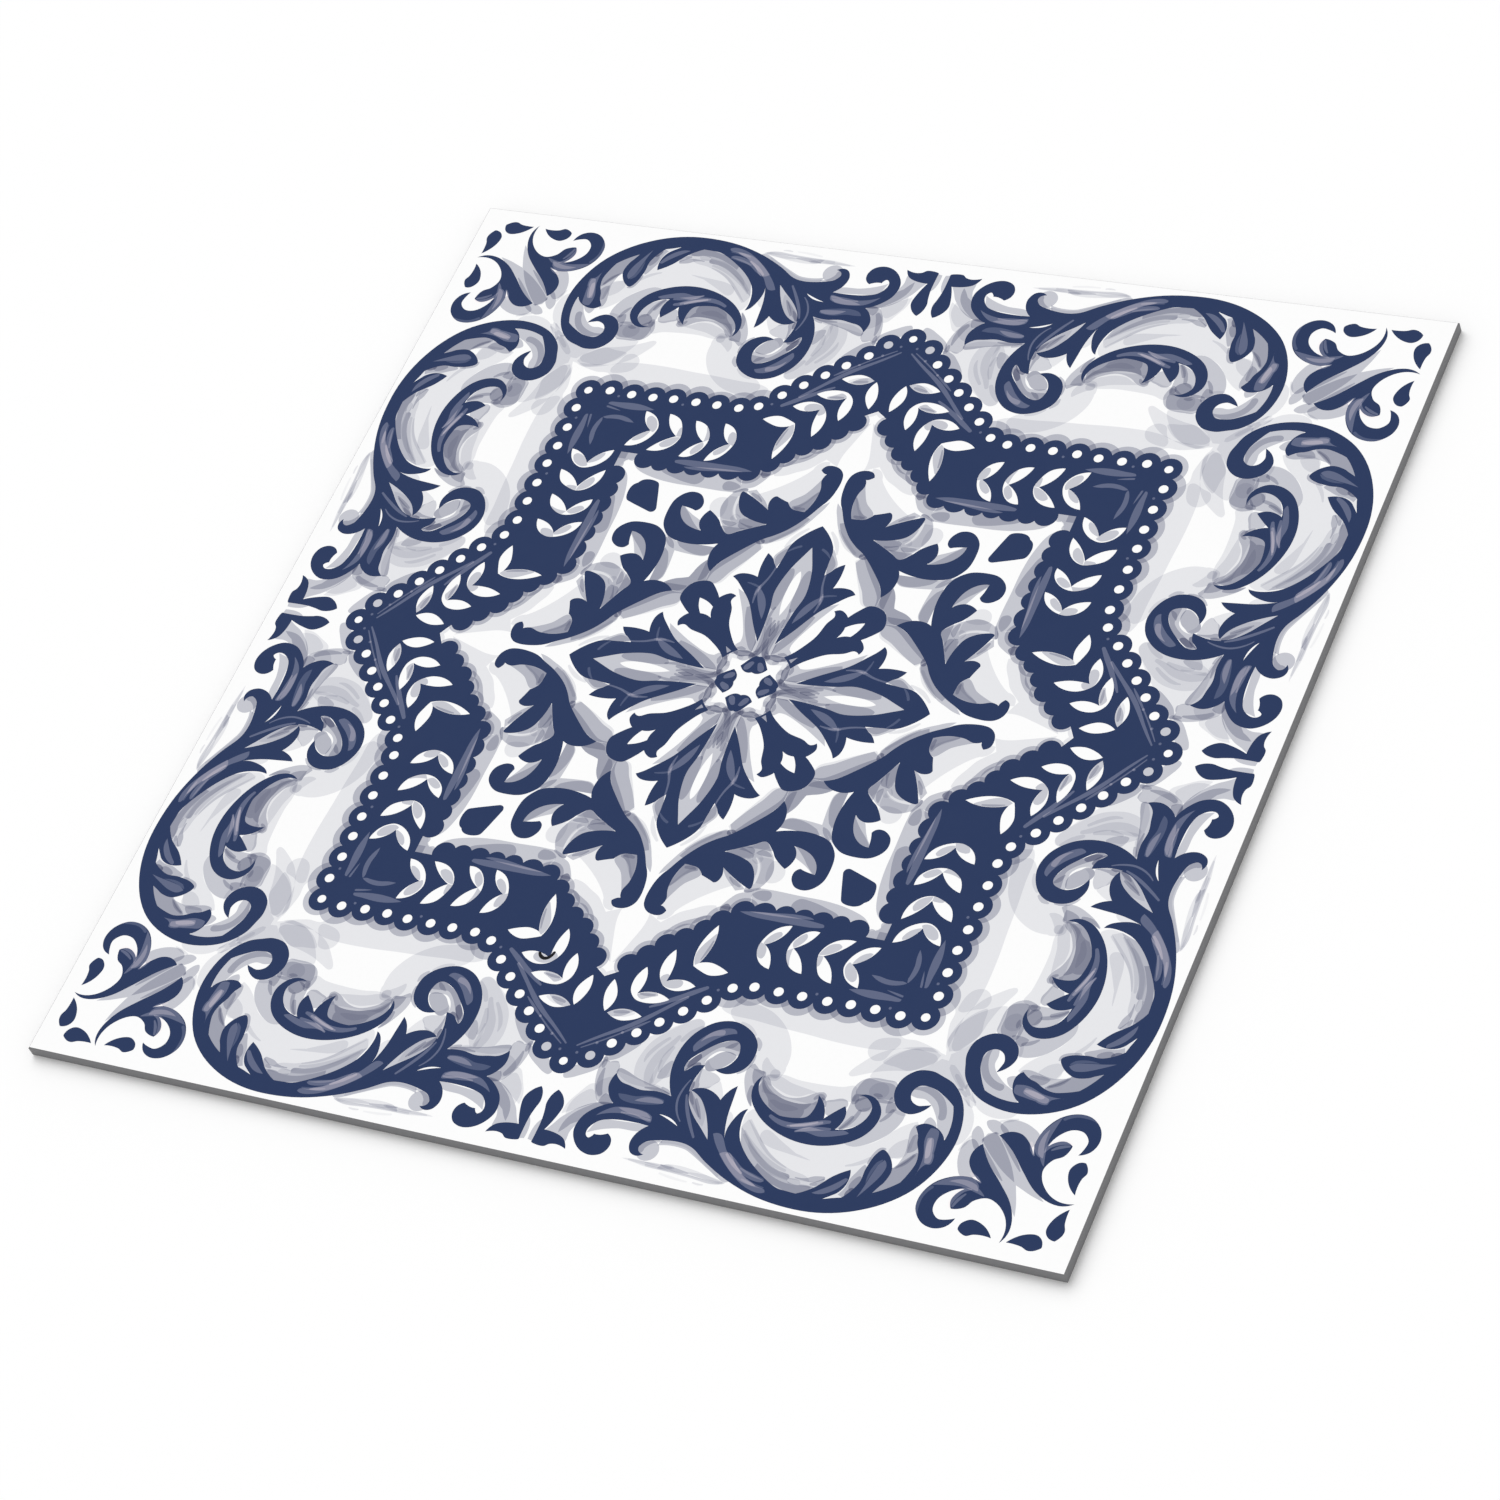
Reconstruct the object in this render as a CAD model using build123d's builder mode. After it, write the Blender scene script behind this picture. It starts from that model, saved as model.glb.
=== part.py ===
"""Self-adhesive wall tile: one square sheet of vinyl, lying on its adhesive back with the printed face up.

Units are millimetres. The origin is the centre of the back face and +Z points out of the printed face.
"""

import os

from build123d import *

# Driving dimensions
tile_side = 200.0  # length of each side of the square sheet
tile_thickness = 2.2  # from the adhesive back to the printed face
edge_break = 0.2  # flat bevel round the printed face, left by the cutting die

# The sheet: a square plate whose upper rim is broken by a narrow flat bevel
with BuildPart() as tile:
    with BuildSketch(Plane.XY):
        Rectangle(tile_side, tile_side)
    extrude(amount=tile_thickness)
    printed_face = tile.faces().sort_by(Axis.Z)[-1]
    chamfer(printed_face.edges(), length=edge_break)
tile.part.label = "tile"

os.makedirs("parts", exist_ok=True)
export_step(tile.part, "parts/tile.step")
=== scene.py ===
import math

import bpy
import numpy
from mathutils import Matrix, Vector
from mathutils.geometry import delaunay_2d_cdt


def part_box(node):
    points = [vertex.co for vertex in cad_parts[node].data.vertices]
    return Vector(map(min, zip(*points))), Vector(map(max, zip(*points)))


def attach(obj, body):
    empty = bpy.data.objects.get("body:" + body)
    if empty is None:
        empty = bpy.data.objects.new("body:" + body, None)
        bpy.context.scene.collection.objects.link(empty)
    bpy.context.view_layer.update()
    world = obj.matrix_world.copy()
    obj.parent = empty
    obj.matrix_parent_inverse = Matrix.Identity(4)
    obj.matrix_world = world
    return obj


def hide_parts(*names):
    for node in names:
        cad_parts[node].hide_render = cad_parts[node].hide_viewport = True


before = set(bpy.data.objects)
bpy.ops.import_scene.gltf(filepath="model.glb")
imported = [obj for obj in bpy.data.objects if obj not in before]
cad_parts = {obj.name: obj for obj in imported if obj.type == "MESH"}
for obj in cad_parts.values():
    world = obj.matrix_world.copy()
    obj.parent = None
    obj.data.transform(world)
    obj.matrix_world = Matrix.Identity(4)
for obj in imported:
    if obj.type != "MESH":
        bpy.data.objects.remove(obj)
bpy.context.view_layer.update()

# Sizes in metres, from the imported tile
low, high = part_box("tile")
half_side = (high[0] - low[0]) / 2
thickness = high[2] - low[2]
edge_break = 0.0002
millimetre = 0.001

# The ornament is the same in all eight wedges of the square, apart from one mark, so one wedge is painted,
# 0 <= x <= y, in millimetres from the middle of the tile
wedge_side = (half_side - edge_break) / millimetre

chord_error = 0.015  # how far a chord may leave its curve, mm
fewest_chords = 10  # in a disc
thinnest = 0.02  # width that a stroke keeps at a pointed end, mm
round_from = 0.2  # width past which a stroke's end is round, mm

# Inks: colour as 0-255 sRGB, and how much one coat covers
NAVY = ((38, 55, 93), 1.0)
PAPER = ((254, 254, 254), 1.0)
BLACK = ((22, 22, 26), 1.0)
WASH = ((48, 53, 84), 0.266)
MIST = ((48, 53, 84), 0.108)
HAZE = ((48, 53, 84), 0.05)
GLAZE = ((254, 238, 240), 0.27)
VEIL = ((254, 238, 240), 0.18)
CHALK = ((251, 251, 251), 0.5)

coats = []


def lay(ink, outline):
    coats.append((ink, outline))


def beyond(a, b, c):
    """The point that carries the bend a, b, c on past a."""
    length = math.hypot(b[0] - a[0], b[1] - a[1])
    along = ((b[0] - a[0]) / length, (b[1] - a[1]) / length)
    middle = ((a[0] + b[0]) / 2, (a[1] + b[1]) / 2)
    reach = 2 * ((c[0] - middle[0]) * along[0] + (c[1] - middle[1]) * along[1])
    return (c[0] - reach * along[0], c[1] - reach * along[1]) + tuple(2 * p - q for p, q in zip(a[2:], b[2:]))


def curve(p0, p1, p2, p3):
    """Chords of the centripetal Catmull-Rom curve from p1 to p2, without p2."""
    d1 = math.sqrt(math.dist(p0[:2], p1[:2]))
    d2 = math.sqrt(math.dist(p1[:2], p2[:2]))
    d3 = math.sqrt(math.dist(p2[:2], p3[:2]))
    c1 = [(d1 * d1 * c - d2 * d2 * a + (2 * d1 * d1 + 3 * d1 * d2 + d2 * d2) * b) / (3 * d1 * (d1 + d2))
          for a, b, c in zip(p0, p1, p2)]
    c2 = [(d3 * d3 * b - d2 * d2 * d + (2 * d3 * d3 + 3 * d3 * d2 + d2 * d2) * c) / (3 * d3 * (d3 + d2))
          for b, c, d in zip(p1, p2, p3)]
    bend = max(math.hypot(a[0] - 2 * b[0] + c[0], a[1] - 2 * b[1] + c[1])
               for a, b, c in ((p1, c1, c2), (c1, c2, p2)))
    count = max(1, math.ceil(math.sqrt(0.75 * bend / chord_error)))
    chords = []
    for step in range(count):
        t = step / count
        s = 1 - t
        chords.append(tuple(s ** 3 * a + 3 * s * s * t * b + 3 * s * t * t * c + t ** 3 * d
                            for a, b, c, d in zip(p1, c1, c2, p2)))
    return chords


def smooth(points):
    """A smooth open line through the points, without its last point."""
    if len(points) < 3:
        return list(points[:-1])
    line = [beyond(*points[:3]), *points, beyond(points[-1], points[-2], points[-3])]
    return [chord for i in range(len(points) - 1) for chord in curve(*line[i:i + 4])]


def shape(ink, *runs):
    """A closed outline of smooth runs that meet at sharp corners: each run starts at its corner."""
    outline = []
    for run, following in zip(runs, runs[1:] + runs[:1]):
        outline += smooth(run + following[:1])
    lay(ink, outline)


def loop(ink, *points):
    """A closed smooth outline."""
    count = len(points)
    ring = [points[(i - 1) % count] for i in range(count + 3)]
    lay(ink, [chord for i in range(count) for chord in curve(*ring[i:i + 4])])


def disc(ink, x, y, radius):
    count = max(fewest_chords, math.ceil(math.pi / math.sqrt(2 * chord_error / radius)))
    turns = [2 * math.pi * i / count for i in range(count)]
    lay(ink, [(x + radius * math.cos(t), y + radius * math.sin(t)) for t in turns])


def stroke(ink, *points):
    """A brush stroke along a smooth line of (x, y, width), with round ends where the width isn't nothing."""
    line = smooth(list(points)) + [points[-1]]
    left, right = [], []
    last = len(line) - 1
    for i, (x, y, width) in enumerate(line):
        before = line[max(i - 1, 0)]
        after = line[min(i + 1, last)]
        angle = math.atan2(after[1] - before[1], after[0] - before[0])
        half = max(width, thinnest) / 2
        turns = [angle + math.pi / 2]
        if width > round_from and i in (0, last):
            arc = [0.25 * k for k in range(5)]
            turns = [angle + math.pi / 2 * (2 - a if i == 0 else 1 - a) for a in arc]
        left += [(x + half * math.cos(t), y + half * math.sin(t)) for t in turns]
        right += [(x + half * math.cos(2 * angle - t), y + half * math.sin(2 * angle - t)) for t in turns]
    lay(ink, left + right[::-1])


def scallops(start, *lobes):
    """The edge and the circles of arcs from notch to notch, each given by its last notch and its bulge."""
    edge, circles = [start], []
    for x, y, bulge in lobes:
        sx, sy = edge[-1]
        chord = math.dist((sx, sy), (x, y))
        radius = (chord * chord / 4 + bulge * bulge) / (2 * bulge)
        inward = (radius - bulge) / chord
        cx = (sx + x) / 2 - (y - sy) * inward
        cy = (sy + y) / 2 + (x - sx) * inward
        begin = math.atan2(sy - cy, sx - cx)
        sweep = (math.atan2(y - cy, x - cx) - begin) % (2 * math.pi)
        count = math.ceil(sweep / math.sqrt(8 * chord_error / radius))
        turns = [begin + sweep * k / count for k in range(1, count)]
        edge += [(cx + radius * math.cos(t), cy + radius * math.sin(t)) for t in turns] + [(x, y)]
        circles.append((cx, cy, radius))
    return edge, circles


# Washes outside the star, thin coats that darken where they overlap
# Round the short leaf on the axis and the hooked leaf
shape(WASH, [(0.35, 96.6), (0.3, 95), (0.6, 93.4)], [(1.2, 92.4)], [(1.4, 96.8)])
shape(WASH, [(2.6, 94.3), (3.5, 92.9), (4.3, 91.4), (5.5, 90), (7.1, 88.5), (9.2, 87.3)], [(12.2, 86.8)],
    [(8.6, 90)], [(7.6, 92.2), (7.1, 93.6), (7, 95.7)], [(4.6, 94.5)])
shape(WASH, [(5.1, 94.2), (5.1, 92.6), (5.6, 91), (6.8, 89.4), (8.3, 88.1), (9.8, 87)], [(12.3, 86.8)],
    [(8.4, 90.4)], [(7.7, 91.4)], [(6.6, 92.2), (5.8, 93.4)])
shape(MIST, [(4.1, 90.6), (4.3, 88.4), (5.4, 86.2), (6.8, 84)], [(7.8, 83.8)], [(9.4, 87.2)], [(6.4, 89.2)])
shape(MIST, [(4.9, 90.6), (4.7, 89.2), (5, 87.6), (6, 86), (7.4, 84.9)], [(8.4, 85.8)], [(9.4, 87.2)],
    [(6.4, 89.2)])
# Beside the leaf under the hooked leaf
shape(WASH, [(12.2, 86.9), (10.6, 87.3), (9.4, 87), (8.5, 85.9), (7.6, 84.2), (7, 82.2), (6.8, 80.4)],
    [(7.2, 78.8)], [(8.4, 79.2), (9.7, 78.8), (10.4, 79.6), (10.6, 80.8)], [(10.6, 84)])
stroke(WASH, (7.5, 80.3, 0.6), (7.45, 79.6, 0.9), (7.3, 78.8, 0.9))
stroke(WASH, (9.2, 85.5, 0.9), (8.4, 84, 1.2), (8, 82.2, 0.9), (7.9, 80.7, 0.4))
shape(MIST, [(8, 85), (9.6, 86.2)], [(10.6, 84)], [(10.4, 81.8), (9.2, 82.2), (8, 83.4)])
# Under that leaf
shape(WASH, [(10.3, 80.8), (10.6, 80), (12, 80.2), (14.2, 81), (17, 81.7), (21.6, 82.9)], [(21.8, 83.3)],
    [(12, 83.4)])
shape(MIST, [(10.3, 80.8), (10.6, 80), (12, 80.2), (14.2, 81), (17, 81.7), (19.6, 82.2)], [(21, 82.8),
    (17, 82.6), (13.4, 82.4), (11.4, 81.6)])
stroke(WASH, (16.6, 82.6, 0.3), (18.8, 82.6, 0.7), (21.2, 82.9, 0.3))
stroke(MIST, (17.2, 81.95, 0.4), (18.5, 82, 0.7), (19.6, 82.25, 0.3))
stroke(MIST, (17.2, 81.4, 0.8), (17.1, 79.4, 0.7), (17.2, 77, 0.4))
shape(MIST, [(10.4, 80.6)], [(10.2, 79)], [(7.4, 79.4)], [(8.4, 76)], [(12, 74)], [(13.2, 73)],
    [(16.2, 70.6)], [(19.4, 68.2), (21, 67.9)], [(21.8, 68.4)], [(22, 70)], [(19.6, 76)], [(21.4, 82.8)])
shape(MIST, [(13.6, 80.8), (13, 78.6), (13.2, 76.2), (14, 73.8), (15.9, 71.4), (18, 69.4), (20.6, 67.8)],
    [(22, 69)], [(19.6, 75)], [(19.4, 79.6)], [(18, 81.9)])
stroke(MIST, (14.3, 77.8, 0.3), (14.4, 76.6, 0.7), (15.2, 74.8, 0.8), (16.8, 72.6, 0.6))
stroke(MIST, (16.6, 81.3, 1.6), (15.9, 79, 1.6), (16.4, 76.2, 1.7), (17.6, 73.8, 1.2), (18.4, 72, 0.8))
stroke(MIST, (17.7, 79, 0.6), (17.5, 77.4, 1), (17.7, 75.8, 1.1), (18.2, 74.2, 0.7))
stroke(MIST, (19.2, 72.4, 0.8), (20.2, 70.8, 1), (21.6, 69.2, 0.5))
for coat in (MIST, MIST):
    loop(coat, (17.9, 80.4), (18.9, 80.3), (20.2, 79.3), (20, 77.6), (19.2, 76.6), (18.4, 77.4), (17.8, 79))
# Inside the hooks and along the large scroll's upper edge
shape(WASH, [(10.1, 93.1), (12.4, 91.95), (15.2, 91.15), (19.3, 90.75)], [(20.4, 89.3)], [(11, 90)])
disc(WASH, 22.1, 93.95, 2.05)
shape(WASH, [(20.3, 94.2), (21.1, 94.7)], [(21.4, 93.8), (21.9, 93), (22.8, 92.3), (24, 91.9)],
    [(23, 91.6)], [(20.6, 92.8)])
shape(WASH, [(23.4, 92.7), (25, 92.3), (27, 92.2), (28.6, 92.4), (30, 93), (32, 94), (34, 95.05),
    (37.6, 96.7)], [(38.4, 96.4)], [(33, 93)], [(29, 91)], [(24, 91)])
stroke(MIST, (24, 91.9, 0.5), (26.5, 91.6, 0.5), (29, 91.9, 0.6), (31.5, 93.2, 0.6), (36, 95.8, 0.5))
shape(MIST, [(18.2, 96.3), (20.6, 96.65), (23.2, 97), (28, 97.05), (32, 97.25), (35.4, 97.55),
    (37.2, 97.2)], [(37.9, 96.7)], [(34, 96.9), (29, 96.7), (25.4, 96.3), (22.4, 96.05), (20, 96.05)])
shape(MIST, [(25.1, 96.9), (30, 96.9), (34, 97.1), (37.4, 97.2)], [(37.9, 96.8)], [(35.4, 96.4),
    (31.6, 95.7), (28.4, 95.5), (26, 95.9)])
stroke(MIST, (19.6, 96.3, 0.3), (22.2, 96.35, 0.6), (25.6, 96.35, 0.7), (27.6, 96.2, 0.3))
for coat in (MIST, MIST):
    stroke(coat, (25.6, 96.05, 0.3), (28, 96.35, 0.7), (30.8, 96.5, 0.3))
stroke(MIST, (22.6, 96.2, 0.2), (24.2, 96.2, 0.5), (26, 96.1, 0.2))
stroke(MIST, (31, 96.4, 0.3), (34, 96.5, 0.8), (37.2, 96.85, 0.5))
loop(MIST, (25.2, 96.7), (26.6, 96.75), (28.2, 96.2), (27.6, 95.8), (26.4, 95.8))
stroke(MIST, (23, 96.7, 0.4), (27, 96.85, 0.4), (31, 97, 0.5), (35, 97.35, 0.5), (36.8, 97.15, 0.4))
stroke(HAZE, (26, 97.6, 0.4), (28.4, 97.95, 0.5), (31.2, 98.1, 0.3))
stroke(MIST, (32.4, 98, 0.3), (33.4, 98.1, 0.4), (34.3, 98, 0.2))
shape(MIST, [(34.15, 88.6), (33.4, 86.4), (32.9, 83.8)], [(33.6, 84), (34.3, 85)])
# Inside the large scroll's lower curl
shape(WASH, [(22.1, 78.3)], [(23.2, 77)], [(25.2, 76.2)], [(24.9, 75.7), (25.2, 74.6), (25.9, 73.6),
    (26.8, 73), (28.2, 73), (30.2, 73.2)], [(30.2, 71.5)], [(28.8, 70.2)], [(25, 72)], [(21.6, 76.6)])
shape(WASH, [(22.1, 78), (22.9, 77), (23.8, 75.6), (24.7, 74.2), (25.7, 73), (26.8, 72.2), (28.6, 72.3),
    (30.2, 72.3)], [(30, 71)], [(28.6, 70.2)], [(24.6, 72.4)], [(21.6, 76.6)])
for coat in (WASH, WASH):
    loop(coat, (22.2, 77.2), (22.9, 76.8), (23.6, 75.9), (24, 74.9), (23.6, 74.3), (22.8, 74.9), (22.2, 76))
for coat in (WASH, WASH):
    shape(coat, [(22, 78.1)], [(23, 77)], [(24.6, 76.4)], [(24.2, 75.9), (23.6, 76), (22.6, 76.8)])
stroke(WASH, (27.4, 72.2, 0.3), (28.4, 71.6, 0.9), (29, 71, 0.5))
for coat in (WASH, MIST):
    loop(coat, (25, 75.8), (25.5, 76.9), (26.5, 77.2), (27.5, 76.7), (28.7, 75.7), (29.7, 74.4),
        (29.9, 73.4), (29, 72.9), (27.7, 72.9), (26.6, 73.5), (25.7, 74.6), (25.1, 75.3))
shape(MIST, [(25.2, 75.7), (25.6, 76.9), (26.5, 77.15), (27.4, 76.75)], [(26.6, 76.4), (25.9, 75.8)],
    [(25.5, 75.2)])
for coat in (MIST, MIST):
    loop(coat, (25, 80.8), (27.5, 80.4), (28.2, 79.5), (29, 78.4), (27.9, 77.5), (26.4, 77.2), (25.1, 77),
        (24.8, 78.8))
shape(MIST, [(25, 81), (27.2, 80.4)], [(28.8, 80.9), (30.6, 82)], [(30.6, 80.9), (29.8, 79.5), (29, 78.6)],
    [(28, 79.8)])
shape(WASH, [(24.6, 82)], [(25, 81.1), (25.8, 80.7)], [(25.5, 79.6), (25.2, 78.2)], [(25.1, 76.5)],
    [(24.4, 79.4)])
# Inside the large scroll's arch
shape(MIST, [(36.1, 84.6), (38.4, 90.6), (43, 94), (50, 96.2), (55, 95.6), (59.4, 94.6), (61, 91)],
    [(63, 87)], [(64.2, 85.9), (65.6, 85.6)], [(66.4, 83)], [(66.2, 79.4)], [(65.6, 78.5), (64.6, 79),
    (63.5, 79.8), (62.3, 81), (61.2, 82.4), (60, 83.7), (58, 84.9), (56.2, 85.4)], [(54.6, 85.2),
    (47.5, 86.4), (40.5, 84.8), (37, 82.4)])
shape(WASH, [(36.3, 86), (37.8, 87.2), (40.4, 89.5), (43.4, 91.55), (46, 92.5), (48, 92.9)], [(48.3, 93.4),
    (48.2, 94)], [(50.4, 94.3), (53.4, 94.3)], [(51, 96.5)], [(44, 94.8)], [(38, 90.5)])
shape(WASH, [(41.8, 92), (44, 93.2), (46.6, 94.2), (49, 94.5), (52.6, 94.3)], [(51, 96.4)], [(46, 95.6)],
    [(41.6, 92.9)])
shape(MIST, [(38.6, 88.4), (41, 90.2), (44, 91.9), (46.4, 92.7), (48.1, 92.9)], [(48.2, 94)], [(45, 93.6),
    (42, 92), (39.4, 89.9)])
shape(MIST, [(37, 84.4), (39.2, 86.2), (41.2, 88.1), (43.2, 89.8), (45.6, 91), (48, 91.9), (51, 92.5)],
    [(52, 93.4)], [(48.4, 93.6)], [(46, 92.5), (43.4, 91.55), (40.4, 89.5), (37.8, 87.2)], [(36.3, 86)])
stroke(MIST, (37.4, 84.6, 0.5), (39.6, 86.9, 0.6), (41.8, 89, 0.6), (44.2, 90.6, 0.5), (47, 91.7, 0.2))
stroke(WASH, (49.2, 93.1, 0.2), (51, 93.1, 0.5), (52.6, 92.7, 1.2), (54, 92.2, 0.7))
shape(MIST, [(48.2, 93.4), (50.4, 93.4), (53.4, 93.3)], [(53, 94.4)], [(48.4, 94.4)])
shape(MIST, [(40.2, 86.2), (40.4, 87.6), (42.4, 88.6), (46, 89.1), (50.5, 89.5)], [(47.6, 88.8),
    (44.4, 87.2), (41, 85.6)])
stroke(MIST, (56.8, 89.1, 0.3), (58.6, 88.3, 0.7), (60.3, 87, 0.8))
shape(WASH, [(57.6, 94.5), (58.3, 93), (58.5, 91.2), (59, 90), (60, 88.2)], [(61, 90)], [(60, 94)],
    [(58.6, 94.9)])
loop(WASH, (58.8, 92.6), (59.3, 93.4), (60.2, 92.6), (60.6, 91), (60, 90.4), (59.2, 91.2))
for coat in (WASH, WASH):
    loop(coat, (58.8, 93.5), (58.7, 94.4), (59.2, 94.9), (59.8, 94), (60, 92.9), (59.4, 92.8))
stroke(WASH, (52.4, 93.7, 0.5), (53.4, 93.3, 0.9), (54.2, 92.4, 0.4))
stroke(MIST, (37.2, 86.7, 0.4), (40, 89.2, 0.8), (43.4, 91.2, 0.8), (47, 92.3, 0.5))
stroke(WASH, (60.3, 87.8, 0.3), (60.7, 86.2, 0.6), (61.5, 84.9, 0.8), (62.2, 84.6, 0.3))
loop(MIST, (48.2, 93.6), (48.4, 94.3), (49.6, 94.5), (50.6, 94.1), (50.2, 93.5), (49.2, 93.3))
stroke(MIST, (37.4, 87.4, 0.5), (40.2, 90, 0.8), (43.4, 92.2, 0.9), (46.4, 93.2, 0.8), (48, 93.5, 0.6))
# Right of the large scroll's drop
shape(WASH, [(64, 88)], [(65.1, 87.5), (65.5, 86.2), (65.75, 84.6), (65.6, 83.4), (65.2, 81.6),
    (65.05, 80.4), (65.4, 79.2)], [(66.8, 79)], [(67.6, 83)], [(69, 86)], [(67.4, 90.6)], [(63.2, 92.9)])
shape(WASH, [(64, 88)], [(65.1, 87.6), (66, 86.7), (66.9, 85.5), (67.7, 84.1)], [(69, 86)], [(67.4, 90.6)],
    [(63.2, 92.9)])
stroke(WASH, (65.2, 87.5, 0.5), (66.3, 86.4, 0.9), (67.4, 84.7, 0.6))
stroke(WASH, (65.3, 87.4, 0.2), (66.3, 86.35, 0.4), (67.3, 84.8, 0.3))
shape(WASH, [(66, 84.5), (66.6, 84.3), (67.4, 83.4)], [(67, 82), (66.4, 80.8)], [(65.8, 81.4),
    (65.75, 82.8)])
loop(WASH, (66.8, 78.9), (66.75, 78), (67.3, 77.25), (68, 77.5), (68.6, 78), (69, 78.8))
shape(MIST, [(62.8, 84.6), (63.5, 83.2), (64.4, 82.4), (65.2, 82)], [(66, 83.6)], [(65.6, 85.4)],
    [(64.2, 86)], [(63, 86)])
# Left of the inner scroll and under it
shape(WASH, [(36.4, 82), (35.1, 80.9), (33.8, 78.9), (32.9, 76.8), (32.8, 75.2)], [(33.6, 74), (34.3, 74.5),
    (35, 75), (36.2, 75.2)], [(36.4, 76.4)], [(35.3, 79)])
shape(WASH, [(33.9, 75), (34.1, 76.2), (34.8, 77.6)], [(35.4, 78)], [(36.3, 76.4)], [(36, 75.2), (35, 75)])
stroke(WASH, (36.2, 81.9, 0.3), (35.2, 80.2, 0.8), (34.9, 78.4, 0.6))
shape(WASH, [(36.1, 75.9), (37.1, 76), (38.4, 77.5), (40.3, 78.55), (41.5, 78.9), (42.7, 78.9),
    (43.9, 78.6), (45, 78.1), (46, 77.3), (46.8, 76.9)], [(47.6, 76.7), (48.4, 77.2), (48.2, 78.2)],
    [(47.2, 82.4)], [(41.9, 83)], [(36, 79.6)])
shape(WASH, [(36.3, 76.4), (37.2, 77.2), (38, 77.95), (39, 78.6), (40, 79.05), (41.5, 79.5), (43.5, 79.7),
    (45, 79.6), (46.4, 79.2), (47.1, 78.6)], [(47.2, 82.4)], [(41.9, 83)], [(36, 79.6)])
shape(WASH, [(36.3, 76.4), (37, 77.4), (37.8, 78.2), (38.8, 78.75), (40, 79.05), (41.5, 79.5), (43.5, 79.7),
    (45, 79.6), (46.4, 79.2)], [(45.6, 80.6), (45.4, 82.4)], [(41.9, 83)], [(39.2, 81.2), (38.6, 80),
    (37.2, 78.6), (36.4, 77.4)])
stroke(WASH, (46.6, 78.2, 0.5), (47.4, 77.5, 0.9), (48.2, 77.9, 0.5))
for coat in (WASH, MIST):
    stroke(coat, (47.8, 77.8, 0.3), (48.4, 78.4, 0.7), (48.9, 79.2, 0.3))
stroke(MIST, (36.4, 76.2, 0.4), (37.2, 76.9, 0.6), (38, 77.4, 0.3))
loop(MIST, (39, 80.2), (40, 80.9), (41.4, 81.5), (43, 81.5), (44.6, 80.7), (43, 80.3), (41, 80.2),
    (39.8, 79.9))
shape(MIST, [(36.6, 75.6), (39, 75.4), (41.5, 76.2), (44.8, 76.7)], [(46.6, 77), (45.2, 77.6),
    (43.9, 78.35), (42.7, 78.5), (41.5, 78.45), (40, 78), (38.2, 77.2)])
shape(MIST, [(36.2, 75.8), (39.3, 75), (42.7, 75.4), (47.6, 75.3), (50.4, 75), (52.6, 74.4)],
    [(53.4, 77.4)], [(51.2, 77.6)], [(48.9, 78.4)], [(47.5, 79.4)], [(37, 79)])
shape(WASH, [(49.5, 80.6), (48.9, 79), (48.7, 78.2), (49.9, 77.65), (51.2, 77.15), (52.3, 77.4),
    (52.7, 78.2)], [(52.3, 79.2)], [(50.6, 81)])
shape(WASH, [(52.4, 82.9), (55.4, 81.7), (57.3, 79.4), (56.8, 76.6)], [(53, 75.8)], [(52.9, 79.8)])
stroke(WASH, (53.2, 82.7, 0.6), (54.2, 81.3, 0.8), (54.8, 80, 0.8), (55.1, 78.8, 0.7))
stroke(WASH, (53, 82.6, 0.5), (53.8, 81.4, 0.9), (54.3, 80.2, 0.7))
for coat in (WASH, MIST):
    loop(coat, (53.6, 77.4), (54.4, 78.5), (55.6, 78.8), (56.7, 78), (56.6, 76.8), (55.4, 76.2),
        (54.2, 76.4))
loop(WASH, (52.8, 77), (53.3, 77.8), (54, 77.4), (54.1, 76.6), (53.7, 76), (53, 76.1))
stroke(MIST, (55.6, 78.4, 0.6), (56.4, 78.2, 0.8), (57, 77.6, 0.5))
loop(WASH, (52.3, 74.9), (52.4, 76), (53, 77.2), (54.2, 77), (55.4, 76.2), (57.4, 76.5), (60, 76),
    (60.2, 74), (59.2, 72.2), (57.3, 72.05), (55.5, 72.1), (54.2, 72.4), (53, 73.3))
loop(WASH, (53.1, 75.7), (54.6, 76.2), (57.4, 75.8), (59.6, 75.4), (59.8, 73.6), (58.8, 72.7), (56.3, 72.6),
    (54.1, 72.5), (53.3, 73.5))
loop(MIST, (55.1, 74.5), (55.7, 75.6), (57, 75.9), (58.1, 75.6), (58.6, 74.4), (58.1, 73.2), (57, 72.75),
    (55.7, 73.2))
loop(WASH, (56.1, 75.2), (57, 75.6), (57.9, 75.3), (57.4, 74.9), (56.6, 74.9))
shape(WASH, [(54.8, 85.2), (56.6, 85.4), (58.7, 84.5), (60.9, 82.7), (62.3, 80.8), (63, 78.6)],
    [(62.8, 77.2)], [(60.5, 76)], [(57, 75.6)], [(58.2, 78)], [(58.6, 80)], [(57, 83.4)])
stroke(WASH, (59.3, 79.8, 0.4), (60.1, 78.7, 0.8), (60.6, 77.5, 0.7))
shape(WASH, [(59.6, 78.2), (59.2, 77), (59.4, 75)], [(60.6, 76.2)], [(61.2, 77.2)], [(60.6, 77.9)])
stroke(MIST, (60.9, 77.4, 0.6), (62, 77.7, 0.6), (63, 77.8, 0.4))
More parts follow.
